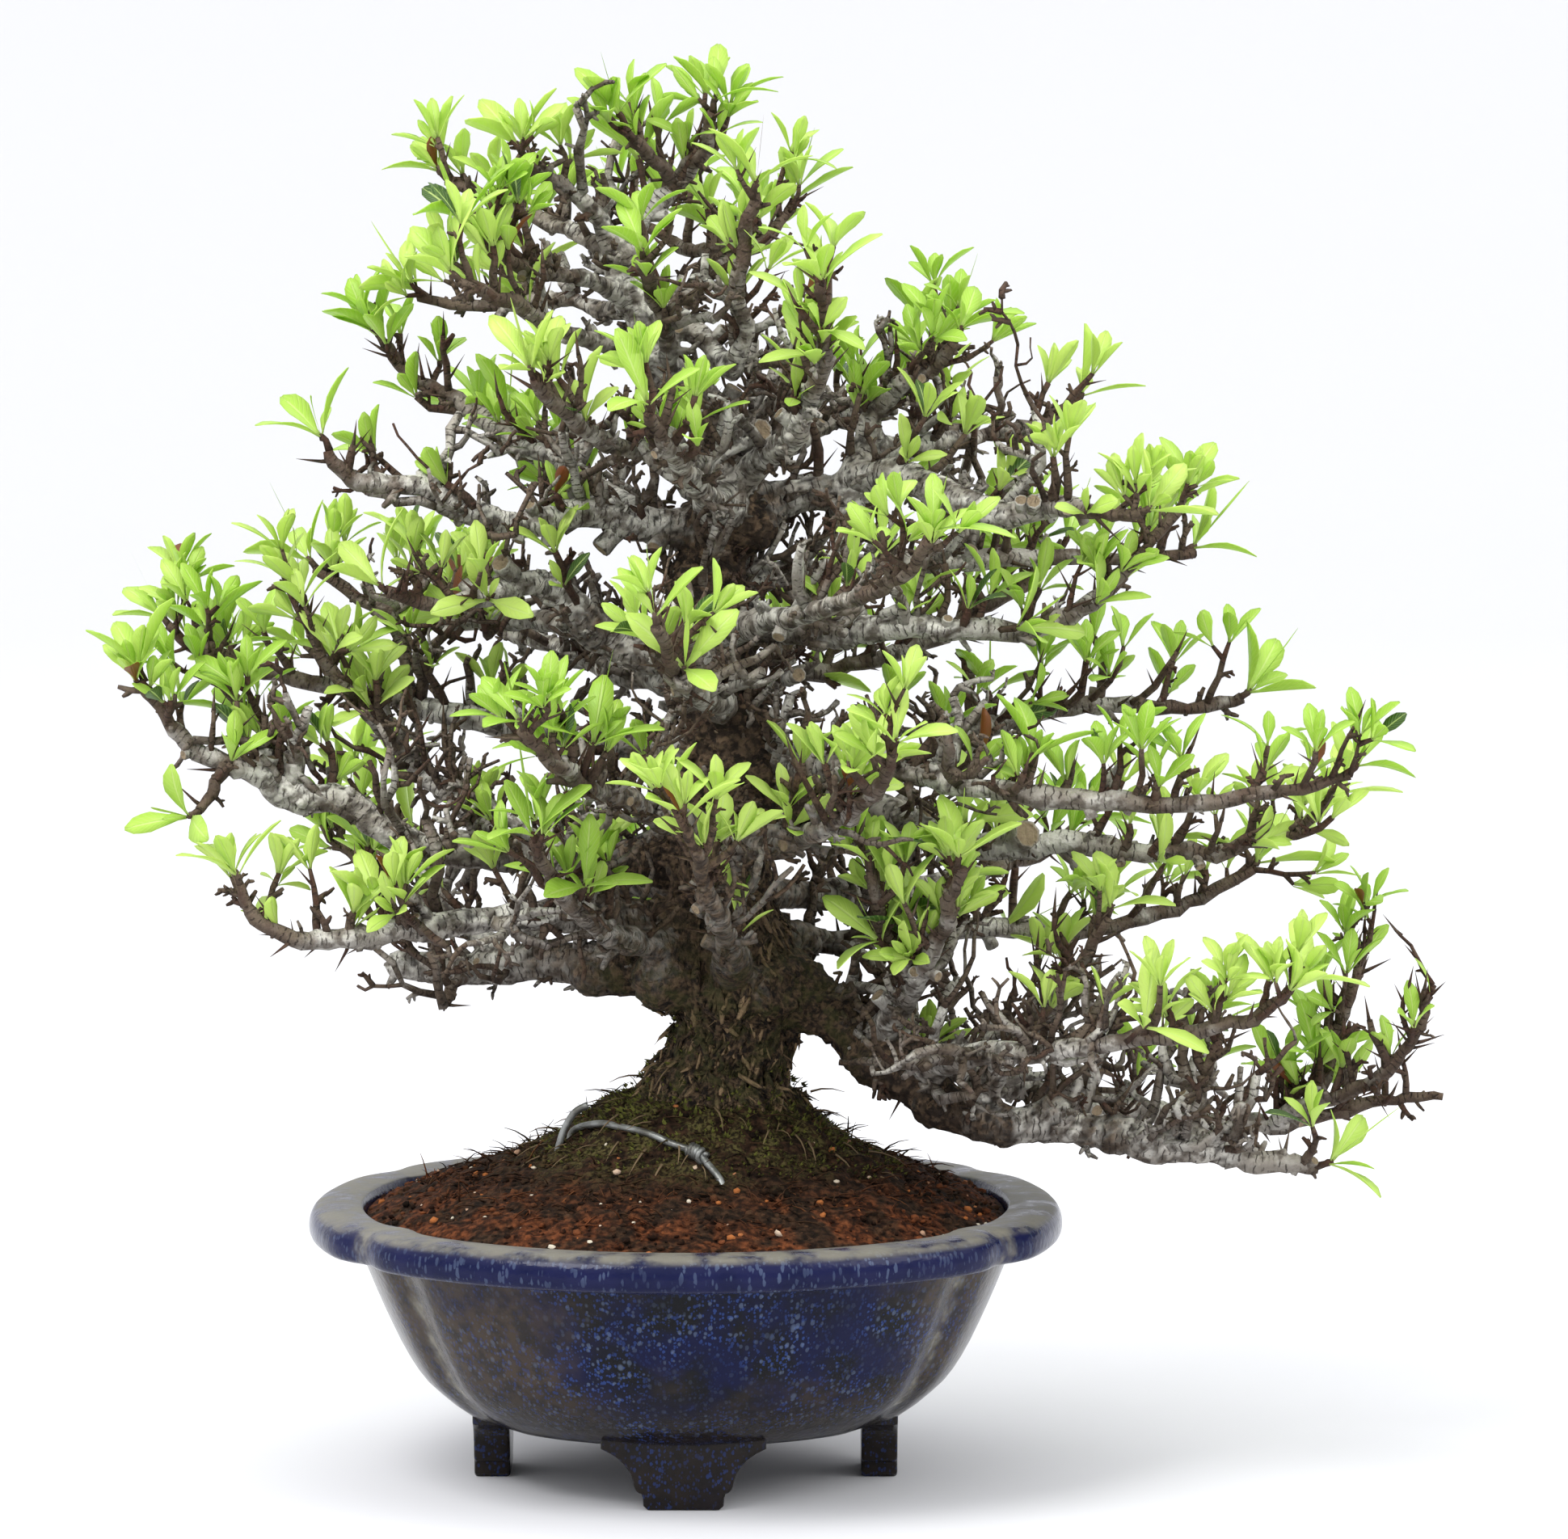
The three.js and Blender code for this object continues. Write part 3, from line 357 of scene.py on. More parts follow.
def cells(where, size):
    """Round cells of about a size: a number that each one draws, and the distance to its middle."""
    made = node_by("TexVoronoi", where)
    put(where, made.inputs["Vector"])
    put(1 / size, made.inputs["Scale"])
    pick = node_by("SeparateColor", where)
    put(made.outputs["Color"], pick.inputs["Color"])
    return pick.outputs["Red"], made.outputs["Distance"]


def specks(where, cell, most):
    """Round specks of mixed sizes, one or none to a cell, 1 inside and 0 outside."""
    drawn, distance = cells(where, cell)
    size = times(maths("POWER", drawn, 2), most)
    return maths("MULTIPLY_CLAMPED", maths("SUBTRACT", size, distance), 6)


def relief(shader, height, depth):
    """Bump from a height between 0 and 1, depth millimetres at most."""
    made = node_by("Bump", height)
    put(height, made.inputs["Height"])
    put(0.001 * depth, made.inputs["Distance"])
    put(made.outputs["Normal"], shader.inputs["Normal"])


def sideways(where, x):
    """How far to the left or right a point is of a place at x from the pot's middle."""
    return maths("ABSOLUTE", maths("ADD", axes(where)["X"], -1000 * pot_middle.x - x))


COBALT = rgb(18, 22, 60)
NAVY = rgb(10, 16, 52)
INK = rgb(14, 15, 20)
OLIVE_BROWN = rgb(66, 56, 47)
DARK_OLIVE = rgb(46, 41, 38)
LOWER_BODY_SHADE = rgb(19, 16, 16)
PALE_SPECK = rgb(104, 120, 148)
BLUE_SPECK = rgb(40, 62, 120)
CREAM = rgb(134, 130, 116)

glaze, tree, shader = finish("blue_glaze", 0.2, specular=0.16)
where = in_millimetres(tree)
height = axes(where)["Z"]
cloud = grain(where, 30, 4)
brown = scaled(between(sideways(where, 14), 25, 100), 0.46, cloud)
brown = between(scaled(between(height, 56, 22), 0.4, brown), 0.5, 0.98)
blue = blended(patches(where, 17, 5, 0.38, 0.6), INK, NAVY)
mottled = blended(patches(where, 5, 4, 0.4, 0.66), OLIVE_BROWN, DARK_OLIVE)
# Painted shade: the body is darkened to near black towards its foot, where it faces down, away from the
# light.
body = covered(blended(brown, blue, mottled), between(height, 52, 26), 0.8, LOWER_BODY_SHADE)
dappled = in_millimetres(tree, (1, 1, 0.7))
thick = times(patches(where, 20, 3, 0.36, 0.62), scaled(brown, -0.6, 1))
body = blended(times(specks(dappled, 0.95, 0.85), scaled(thick, 0.7, 0.12)), body, BLUE_SPECK)
pale = maths("MAXIMUM", times(specks(dappled, 3.6, 0.38), 0.8), times(specks(dappled, 1.7, 0.62), 0.65))
pale = times(times(pale, scaled(thick, 0.5, 0.12)), between(height, 18, 32))
body = blended(pale, body, PALE_SPECK)
dragged = in_millimetres(tree, (1, 1, 0.35))
streaks = times(specks(dragged, 1.2, 0.8), scaled(thick, 0.26, 0.1))
lip = blended(streaks, blended(patches(where, 14, 3, 0.4, 0.65), COBALT, NAVY), PALE_SPECK)
coat = blended(between(scaled(cloud, 4, height), 82, 85.5), body, lip)
# Painted highlight: a pale cream streak down each notch, where the glossy glaze catches the light.
notch_highlight = times(mark(tree, "groove"), grain(where, 7, 3))
coat = blended(between(notch_highlight, 0.32, 0.8), coat, CREAM)
worn = times(between(facing_up(tree), 0.5, 0.95), patches(where, 10, 6, 0.28, 0.58))
put(covered(coat, worn, 0.75, CREAM), shader.inputs["Base Color"])
put(scaled(worn, 0.35, 0.16), shader.inputs["Roughness"])
relief(shader, grain(where, 3, 4), 0.25)
pot = finished("glazed_pot", bowl, [glaze], ["pot"])
pot.data.set_sharp_from_angle(angle=math.radians(38))

# Drain screens and grit: two squares of black plastic mesh over the holes, and the coarse fired grit
# that lies on the floor over them. They are laid loose, under the soil, and no view reaches them.
GRIT_SIZE = 4

mesh_plastic, tree, shader = finish("black_mesh", 0.55)
where = in_millimetres(tree)
put(blended(grain(where, 6), rgb(22, 22, 23), rgb(36, 35, 34)), shader.inputs["Base Color"])
relief(shader, grain(where, 0.8), 0.1)
fired_grit, tree, shader = finish("fired_grit", 0.95, specular=0.2)
where = in_millimetres(tree)
drawn, distance = cells(where, GRIT_SIZE)
put(blended(drawn, rgb(176, 158, 128), rgb(112, 88, 64)), shader.inputs["Base Color"])
relief(shader, maths("SUBTRACT", 1, distance), 1.5)
for node, material in (
    ("drain_screen_left", mesh_plastic),
    ("drain_screen_right", mesh_plastic),
    ("drainage_grit", fired_grit),
):
    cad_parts[node].data.materials.clear()
    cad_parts[node].data.materials.append(material)

# Soil: fibrous peat pressed into a mound round the root crown, with bits of ochre and cream grit in it
# and a dull green bloom over its top. Crumbs lie all over it, and peat fibres stick out of it.
GAP = 0.35
GRIT_TOP = 38
SOIL_EDGE = 91.5
MOUND_CENTRE_X = 8
MOUND = ((0, 136), (0.3, 130), (0.48, 115), (0.62, 108), (0.76, 103), (0.9, 97), (1, SOIL_EDGE))
PLAN_SLACK = 0.001
MOUND_ROWS = 56
SOIL_COLUMNS = 160
CRUMBS = 2600
FIBRES = 1900
PEAT_CRUMBS = 0.94
CRUMB_SEED = 5
RANDOM_FACTOR, RANDOM_PRIME = 16807, 2**31 - 1
SOIL_RIPPLES = ((0.12, 2.2), (0.4, 1.1))
UP = Vector((0, 0, 1))
GOLDEN_ANGLE = 2.39996


def stepped(table, value):
    """The height at value in a table of (value, height) that runs upwards, straight between its rows."""
    for (low, start), (high, end) in zip(table, table[1:]):
        if value <= high:
            return start + (end - start) * (value - low) / (high - low)
    return table[-1][1]


INSIDE_WALL = sorted((height, share) for share, height in POT_INSIDE[:-1])


def fill_share(height):
    """The inside's share of the plan at a height, less the gap to the wall."""
    return stepped(INSIDE_WALL, height) - GAP / RIM_HALF_WIDTH - PLAN_SLACK


def mound_height(x, y):
    """Height of the soil over a point of the plan."""
    edge = fill_share(SOIL_EDGE)
    share = math.hypot(x, y) / (plan_radius(math.atan2(y, x)) * edge)
    x -= MOUND_CENTRE_X * (1 - min(share, 1))
    share = min(math.hypot(x, y) / (plan_radius(math.atan2(y, x)) * edge), 1)
    return stepped(MOUND, share)


def draws(seed):
    """A function that gives numbers between 0 and 1, always the same ones for a seed."""
    state = seed * 7919 + 17

    def draw():
        nonlocal state
        state = state * RANDOM_FACTOR % RANDOM_PRIME
        return state / RANDOM_PRIME

    draw()
    draw()
    return draw


def rippled(spot, ripples, start=0):
    """A number with the noise at a point added to it, for each (pitch, height) of some ripples."""
    for pitch, height in ripples:
        start += height * noise.noise(spot * pitch)
    return start


def mark_layers(bm, names):
    """New numbers at each vertex, all 0."""
    return [bm.verts.layers.float.new(name) for name in names]


def skin(stops, sides, marks=()):
    """A closed tube: a ring drawn out from stop to stop. A stop is (place, radius, across, along)."""
    bm = bmesh.new()
    layers = mark_layers(bm, marks)
    frames = []
    for at, radius, across, along in stops:
        turn = Matrix((across, along.cross(across), along)).transposed().to_4x4()
        frames.append(Matrix.Translation(at) @ turn @ Matrix.Diagonal((radius, radius, 1, 1)))
    first = bmesh.ops.create_circle(bm, segments=sides, radius=1, matrix=frames[0])["verts"]
    edges = bm.edges[:]
    bm.faces.new(list(reversed(first)))
    for before, after in zip(frames, frames[1:]):
        made = bmesh.ops.extrude_edge_only(bm, edges=edges)["geom"]
        ring = [part for part in made if isinstance(part, bmesh.types.BMVert)]
        edges = [
            part for part in made
            if isinstance(part, bmesh.types.BMEdge) and part.verts[0] in ring and part.verts[1] in ring
        ]
        bmesh.ops.transform(bm, matrix=after @ before.inverted(), verts=ring)
    bmesh.ops.contextual_create(bm, geom=edges)
    bmesh.ops.recalc_face_normals(bm, faces=bm.faces)
    return bm, layers


def kept(name, bm):
    """A shape kept as a mesh, to be grafted on many times."""
    mesh = bpy.data.meshes.new(name)
    for face in bm.faces:
        face.smooth = True
    bm.to_mesh(mesh)
    bm.free()
    return mesh


def graft(bm, shape, matrix, **marks):
    """Adds a copy of a kept shape at matrix, with its marks set to one value each."""
    copy = shape.copy()
    copy.transform(matrix)
    for name, value in marks.items():
        copy.attributes[name].data.foreach_set("value", [value] * len(copy.vertices))
    bm.from_mesh(copy)
    bpy.data.meshes.remove(copy)


def stray(draw, sunk=0.5):
    """A vector that points any way, and the more upwards the less it is sunk."""
    return Vector((draw() - 0.5, draw() - 0.5, draw() - sunk))


def towards(at, along, face=None, size=1):
    """A matrix that puts a shape's Y along a direction, its Z near face, at one size or three."""
    sizes = (size,) * 3 if isinstance(size, (int, float)) else size
    along = along.normalized()
    face = face or (UP if abs(along.z) < 0.95 else Vector((0, -1, 0)))
    face = (face - along * face.dot(along)).normalized()
    turn = Matrix((along.cross(face), along, face)).transposed().to_4x4()
    return Matrix.Translation(at) @ turn @ Matrix.Diagonal((*sizes, 1))


edge_share = fill_share(SOIL_EDGE)
rows = [(0, GRIT_TOP + GAP)]
rows += [(fill_share(level), level) for level in (GRIT_TOP + GAP, 43.5, 60.5, 77)]
for row in range(MOUND_ROWS):
    share = 1 - row / MOUND_ROWS
    rows.append((share * edge_share, stepped(MOUND, share)))
rows.append((0, MOUND[0][1]))
soil = turned_on_plan(rows, SOIL_COLUMNS)
(tone,) = mark_layers(soil, ["tone"])
for vert in soil.verts:
    if vert.co.z >= SOIL_EDGE:
        share = vert.co.xy.length / (plan_radius(math.atan2(vert.co.y, vert.co.x)) * edge_share)
        vert.co.x += MOUND_CENTRE_X * (1 - share)
        vert.co.z += rippled(vert.co, SOIL_RIPPLES) * min(1, (1 - share) * 9 + 0.25)
    vert[tone] = 0.2

crumb = bmesh.new()
bmesh.ops.create_icosphere(crumb, subdivisions=1, radius=1)
mark_layers(crumb, ["tone"])
for vert in crumb.verts:
    vert.co *= rippled(vert.co, [(1.7, 0.35)], 1)
crumb = kept("crumb", crumb)

fibre_stops = []
for step in range(4):
    bow = Vector((0.12 * step * step / 9, step / 3, 0.1 * math.sin(step)))
    fibre_stops.append((bow, 0.045 - 0.012 * step, Vector((1, 0, 0)), Vector((0, 1, 0))))
fibre, _ = skin(fibre_stops, 3, ["tone"])
fibre = kept("fibre", fibre)

draw = draws(CRUMB_SEED)
for number in range(CRUMBS + FIBRES):
    angle = number * GOLDEN_ANGLE
    spread = 0.975 * math.sqrt((number + 0.5) % CRUMBS / CRUMBS) + 0.02 * draw()
    reach = spread * edge_share * plan_radius(angle)
    x = reach * math.cos(angle) + MOUND_CENTRE_X * (1 - spread)
    y = reach * math.sin(angle)
    at = Vector((x, y, mound_height(x, y)))
    if number < CRUMBS:
        size = 0.6 + 1.3 * draw() ** 3
        shape = Vector((size * (0.8 + 0.5 * draw()), size, size * (0.5 + 0.4 * draw())))
        lay = stray(draw)
        kind = draw()
        shade = 0.5 * kind if kind <= PEAT_CRUMBS else 0.62 + 6 * (kind - PEAT_CRUMBS)
        graft(soil, crumb, towards(at, lay, size=shape), tone=shade)
    else:
        length = 4 + 8 * draw() ** 2
        lay = Vector((draw() - 0.5, draw() - 0.5, 0.3 * draw() ** 3 - 0.05))
        graft(soil, fibre, towards(at, lay, size=length), tone=0.1 + 0.5 * draw())

peat, tree, shader = finish("peat", 0.95, specular=0.1)
where = in_millimetres(tree)
height = axes(where)["Z"]
reddish = between(scaled(grain(where, 26, 4), 22, height), 126, 108)
reddish = times(reddish, patches(where, 13, 3, 0.4, 0.6))
dark = blended(reddish, rgb(24, 17, 12), rgb(38, 21, 13))
warm = blended(reddish, rgb(70, 50, 36), rgb(122, 70, 42))
shade = mark(tree, "tone")
earth = maths("ADD", shade, scaled(grain(where, 2.4, 5), 0.9, -0.45))
earth = blended(between(earth, 0.05, 0.5), dark, warm)
mossy = times(between(height, 106, 119), patches(where, 9, 6, 0.44, 0.58))
fuzz = blended(patches(where, 1.3, 4, 0.4, 0.6), rgb(32, 28, 16), rgb(100, 94, 56))
earth = covered(earth, mossy, 0.65, fuzz)
bits = blended(between(shade, 0.75, 0.95), rgb(164, 100, 56), rgb(214, 204, 184))
put(blended(between(shade, 0.58, 0.64), earth, bits), shader.inputs["Base Color"])
relief(shader, grain(where, 1.2, 4), 0.8)
finished("peat_mound", soil, [peat], ["soil"])

# Tie wires: soft aluminium wire, 2.5 mm thick and dulled to grey, that holds the root ball down. The
# long one lies on the soil and ends in a twisted knot; the short one is the bent end of a second wire.
WIRE_RADIUS = 1.25
WIRE_SIDES = 12
LONG_WIRE = (
    (-38, 110.5, -9), (-40, 111.5, -4), (-39, 113, 1.7), (-30, 114.5, 2.6), (-21.5, 114, 1.7),
    (-13, 111.5, 2.2), (-5, 108.5, 1.8), (1, 106.3, 2), (2.5, 105.5, 2.2), (5, 104, 2.4),
    (8, 101, 1.7), (12, 97.5, 0), (14, 95, -5),
)
KNOT_POINTS = slice(7, 11)
KNOT_RINGS = slice(4, 30)
KNOT_TURNS = 2.4
KNOT_REACH = 1.9
STRAND_RADIUS = 0.9
UPRIGHT_WIRE = ((-46, 96.5), (-45, 103.5), (-44, 109.5), (-42, 115.5), (-38.5, 121), (-34, 123.5))
EYE_X, EYE_DISTANCE, EYE_Z = 34, 2498, 481
SEEN_HEIGHT = (2, 1.025, -0.000033)
SEARCH_FROM, SEARCH_STEP = -100, 0.5
ASKEW = Vector((0.3, -1, 0.2))


def seen_at(x, z, depth):
    """A point that the front view shows at x, z, at a depth behind the trunk's middle."""
    start, share, curve = SEEN_HEIGHT
    height = start + share * z + curve * z * z
    stretch = 1 + depth / EYE_DISTANCE
    return Vector((EYE_X + (x - EYE_X) * stretch, depth, EYE_Z + (height - EYE_Z) * stretch))


def on_mound(x, z, lift=0.0):
    """The point of the soil that the front view shows at x, z, lifted off it."""
    depth = SEARCH_FROM
    at = seen_at(x, z, depth)
    while depth < 0 and mound_height(at.x, at.y) < at.z:
        depth += SEARCH_STEP
        at = seen_at(x, z, depth)
    return at + UP * lift


Ring = namedtuple("Ring", "at radius across along far")


def rings(stops):
    """Rings of a run, each with its axes, carried along without twist, and its distance from the start."""
    across = ASKEW
    far = 0.0
    made = []
    for i, stop in enumerate(stops):
        before, after = stops[max(i - 1, 0)].xyz, stops[min(i + 1, len(stops) - 1)].xyz
        along = (after - before).normalized()
        across = (across - along * across.dot(along)).normalized()
        far += (stop.xyz - before).length if i else 0.0
        made.append(Ring(stop.xyz, stop.w, across, along, far))
    return made


def around(ring, turn):
    """The direction out of a run's side at a turn round it."""
    return ring.across * math.cos(turn) + ring.along.cross(ring.across) * math.sin(turn)


def wire_along(points, radius=WIRE_RADIUS, steps=6):
    """A round wire through points."""
    run = rings(curved([Vector((*point, radius)) for point in points], steps))
    bm, _ = skin([ring[:4] for ring in run], WIRE_SIDES)
    return bm


def added(bm, other):
    """Puts a finished shape into another one."""
    mesh = kept("part", other)
    bm.from_mesh(mesh)
    bpy.data.meshes.remove(mesh)


aluminium, tree, shader = finish("dull_aluminium", 0.42, metallic=0.75)
where = in_millimetres(tree)
dull = blended(patches(where, 5, 4, 0.35, 0.7), rgb(150, 152, 150), rgb(98, 97, 92))
put(dull, shader.inputs["Base Color"])
put(scaled(grain(where, 2, 3), 0.3, 0.3), shader.inputs["Roughness"])
relief(shader, grain(where, 0.9, 3), 0.12)

long_points = [on_mound(*spot) for spot in LONG_WIRE]
long_wire = wire_along(long_points)
core = rings(curved([Vector((*point, 1)) for point in long_points[KNOT_POINTS]], 12))[KNOT_RINGS]
for phase in (0, math.pi):
    turns = [phase + KNOT_TURNS * math.tau * i / (len(core) - 1) for i in range(len(core))]
    strand = [ring.at + around(ring, turn) * KNOT_REACH for ring, turn in zip(core, turns)]
    added(long_wire, wire_along(strand, radius=STRAND_RADIUS, steps=1))
finished("tie_wire_knotted", long_wire, [aluminium], ["tie_wire_long"])
upright_depth = on_mound(*UPRIGHT_WIRE[2]).y - 3 * WIRE_RADIUS
upright = wire_along([seen_at(x, z, upright_depth) for x, z in UPRIGHT_WIRE])
finished("tie_wire_bent_end", upright, [aluminium], ["tie_wire_upright"])

# Old wood: the trunk with its root crown and the inner part of every limb, which grew as one piece.
# Its bark is brown and peaty on the trunk, where it lifts in flakes and strands, and grey-white with dark
# scars on the limbs. Years of pruning have left burrs, spurs, knobs, cut stubs and bare twigs on it.
TRUNK = (
    (10, 60, 0, 17), (10, 100, 0, 27), (10, 120, 0, 30), (11, 130, 0, 25), (13, 139, 0, 21.5),
    (18, 150, 0, 21.5), (20, 163, 0, 25), (15, 180, 0, 21), (14, 200, -2, 15), (12, 220, -2, 17),
    (19, 240, -4, 18), (14, 260, -4, 15.5), (11, 280, -2, 14), (7, 300, 2, 12), (13, 318, 4, 12.5),
    (15, 335, 5, 12.5), (13, 352, 4, 10), (4, 366, 2, 9), (-6, 378, 0, 8), (-14, 392, -2, 7.2),
    (-20, 406, -3, 6.5), (-22, 420, -3, 5.5),
)
LIMBS = (
    ("crown_left_high", 3, (
        (-22, 414, -3, 4.4), (-32, 430, -10, 3.6), (-41, 438, -16, 3), (-49, 443, -22, 2.5),
        (-55, 449, -26, 1.8),
    )),
    ("crown_left_mid", 3, (
        (-21, 408, 0, 4.4), (-34, 422, 12, 3.6), (-48, 427, 22, 3), (-64, 434, 30, 2.6),
        (-82, 441, 36, 1.9),
    )),
    ("crown_top", 2, (
        (-22, 412, -2, 4.4), (-15, 428, 4, 4.1), (-2, 440, 8, 3.6), (7, 452, 6, 3), (10, 465, 2, 2),
    )),
    ("crown_top_left", 0, (
        (-2, 438, 8, 3.2), (-8, 447, 0, 2.6), (-15, 453, -8, 2.2), (-21, 460, -14, 1.8),
    ), "crown_top"),
    ("crown_left_low", 3, (
        (-18, 401, -2, 4.8), (-36, 406, -20, 3.8), (-50, 409, -34, 3.1), (-62, 415, -46, 2.6),
        (-74, 424, -54, 1.9),
    )),
    ("crown_left_flat", 3, (
        (-15, 394, 0, 4.4), (-34, 399, 18, 3.6), (-52, 399, 34, 3), (-72, 398, 46, 2.5),
        (-90, 401, 56, 1.8),
    )),
    ("crown_left_spur", 3, (
        (-8, 380, -2, 5.2), (-30, 386, -24, 3.9), (-46, 391, -42, 3.3), (-62, 400, -58, 2.6),
        (-78, 406, -70, 1.9),
    )),
    ("crown_right", 6, (
        (-17, 400, -3, 5.2), (0, 392, -12, 4.8), (10, 384, -20, 4.6), (17, 377, -27, 4.4),
        (21, 388, -34, 3.8), (18, 404, -40, 3.1), (20, 420, -44, 2.6), (24, 436, -48, 1.9),
    )),
    ("crown_back_right", 3, (
        (-13, 393, 2, 4.4), (0, 402, 20, 3.8), (12, 412, 38, 3.1), (26, 420, 54, 2.5),
        (36, 431, 64, 1.8),
    )),
    ("crown_back", 0, (
        (18, 415, 45, 2.6), (4, 417, 54, 2.5), (-10, 423, 62, 2.3), (-22, 433, 66, 1.8),
    ), "crown_back_right"),
    ("crown_front", 3, (
        (-5, 376, -4, 4.8), (-7, 388, -28, 3.8), (-10, 400, -46, 3.1), (-14, 413, -60, 2.2),
    )),
    ("right_upright", 6, (
        (18, 328, 4, 7.6), (40, 334, 10, 6.8), (55, 336, 12, 6.3), (61, 349, 14, 5.2),
        (66, 361, 12, 4.1), (75, 370, 8, 3.3), (85, 377, 4, 2.6), (93, 386, 0, 1.9),
    )),
    ("right_cut_limb", 6, (
        (52, 335, 12, 6.4), (70, 340, 0, 6.2), (86, 335, -14, 5.8), (98, 330, -24, 5.4),
        (112, 326, -30, 4.9), (126, 329, -36, 4.1), (141, 327, -44, 2.8), (157, 326, -54, 1.9),
    )),
    ("right_upper_back", 4, (
        (61, 348, 14, 4.8), (84, 350, 30, 3.9), (102, 353, 42, 3.4), (119, 357, 50, 2.8),
        (134, 364, 56, 1.9),
    )),
    ("right_front_high", 3, (
        (18, 338, -2, 6.8), (36, 352, -30, 4.7), (45, 369, -52, 3.6), (48, 387, -70, 2.8),
        (47, 404, -84, 1.9),
    )),
    ("right_four", 5, (
        (14, 288, 0, 7.6), (38, 286, -12, 6), (56, 286, -22, 5.4), (76, 288, -28, 4.9),
        (100, 286, -30, 4.2), (124, 289, -28, 3.6), (144, 300, -24, 3), (158, 315, -20, 2.3),
        (170, 328, -16, 1.8),
    )),
    ("right_four_back", 4, (
        (12, 302, 6, 6.8), (38, 306, 28, 5.5), (66, 308, 48, 4.6), (102, 311, 68, 3.6),
        (140, 311, 84, 2.7), (174, 313, 98, 1.8),
    )),
    ("right_three", 5, (
        (16, 240, 0, 7.6), (42, 237, 14, 6.5), (68, 238, 26, 5.5), (86, 243, 36, 4.9),
        (102, 252, 44, 4.2), (120, 259, 50, 3.8), (144, 261, 54, 3.1), (168, 260, 56, 2.6),
        (192, 263, 56, 1.9),
    )),
    ("right_three_low", 5, (
        (18, 236, -4, 7.2), (40, 238, -24, 6), (62, 239, -40, 5.2), (86, 236, -52, 4.6),
        (112, 231, -62, 4.1), (142, 228, -68, 3.6), (176, 228, -73, 2.9), (208, 231, -74, 2.3),
        (229, 237, -72, 1.5),
    )),
    ("right_two", 5, (
        (14, 224, 2, 6.8), (44, 228, 4, 6), (62, 228, 2, 5.6), (76, 222, -2, 5.4), (90, 214, -6, 5),
        (112, 212, -10, 4.6), (136, 213, -12, 4), (160, 210, -16, 3.4), (184, 211, -20, 3),
        (206, 216, -24, 2.5), (221, 227, -26, 1.8),
    )),
    ("right_one_back", 4, (
        (20, 186, 6, 6.8), (42, 180, 24, 5.5), (66, 181, 42, 4.7), (92, 184, 54, 4.1),
        (120, 184, 64, 3.6), (148, 185, 70, 3.1), (174, 193, 74, 2.6), (196, 204, 76, 1.9),
    )),
    ("low_right", 10, (
        (26, 168, -2, 13), (50, 156, -8, 11), (64, 144, -14, 10.2), (78, 132, -20, 9.4),
        (94, 121, -26, 8.6), (112, 117, -30, 7.6), (132, 116, -32, 7), (152, 112, -34, 6.4),
        (172, 109, -36, 5.8), (192, 106, -38, 4.8), (208, 104, -38, 3.6), (219, 102, -38, 2),
    )),
    ("low_right_upper", 5, (
        (60, 151, -10, 6.8), (84, 144, 4, 6), (102, 132, 14, 5.4), (124, 127, 22, 4.8),
        (150, 123, 28, 4.2), (176, 119, 32, 3.8), (202, 117, 34, 3.3), (228, 122, 34, 2.6),
        (250, 126, 32, 2), (262, 127, 30, 1.4),
    )),
    ("low_right_tip", 0, (
        (202, 117, 34, 3.1), (217, 124, 22, 3), (234, 130, 10, 2.6), (247, 141, 2, 2.3),
        (255, 153, -4, 1.9), (258, 165, -6, 1.4),
    ), "low_right_upper"),
    ("low_right_spikes", 0, (
        (215, 120, 34, 2.8), (222, 137, 40, 2.5), (228, 154, 42, 2.2), (233, 170, 42, 1.8),
        (230, 185, 42, 1.4),
    ), "low_right_upper"),
    ("low_right_front", 4, (
        (78, 136, -20, 6), (98, 140, -50, 4.9), (122, 142, -68, 4.1), (148, 144, -80, 3.4),
        (172, 148, -88, 2.8), (196, 154, -92, 2.2), (210, 163, -94, 1.6),
    )),
    ("low_right_up", 3, (
        (100, 122, -27, 5.2), (112, 140, -32, 4.2), (124, 156, -38, 3.4), (136, 172, -44, 2.6),
        (146, 188, -48, 1.9),
    )),
    ("low_right_inner", 2, (
        (66, 148, -16, 5.6), (77, 161, -40, 4.4), (85, 175, -58, 3.4), (91, 190, -70, 2.6),
        (94, 205, -78, 1.9),
    )),
    ("low_right_tuft", 0, (
        (80, 166, -47, 3.6), (71, 177, -52, 3.1), (66, 190, -56, 2.6), (64, 204, -60, 2),
    ), "low_right_inner"),
    ("low_right_far_up", 3, (
        (172, 110, -36, 4.2), (177, 124, -34, 3.4), (181, 136, -32, 2.7), (184, 148, -30, 1.9),
    )),
    ("left_upper", 6, (
        (10, 320, 2, 7.6), (-14, 323, -2, 6.8), (-32, 327, -6, 6.2), (-55, 324, -10, 5.6),
        (-72, 327, -14, 4.9), (-88, 334, -18, 4.2), (-102, 338, -20, 3.6), (-114, 339, -22, 3),
        (-123, 349, -24, 1.9),
    )),
    ("left_upper_back", 3, (
        (-16, 326, 0, 5.6), (-38, 340, 22, 4.4), (-58, 352, 38, 3.8), (-78, 366, 48, 3.1),
        (-92, 373, 56, 2.6), (-104, 385, 62, 1.9),
    )),
    ("left_upper_front", 3, (
        (10, 340, -4, 6), (-12, 346, -32, 4.4), (-28, 352, -52, 3.6), (-42, 362, -70, 2.8),
        (-52, 373, -84, 1.9),
    )),
    ("left_mid", 6, (
        (8, 276, 2, 8), (-16, 280, 4, 7.3), (-31, 286, 4, 6.8), (-41, 298, 2, 6.3), (-50, 303, -3, 5.2),
        (-62, 300, -10, 4.2), (-76, 296, -18, 3.4), (-90, 296, -24, 2.6), (-102, 299, -28, 1.9),
    )),
    ("left_mid_arch", 3, (
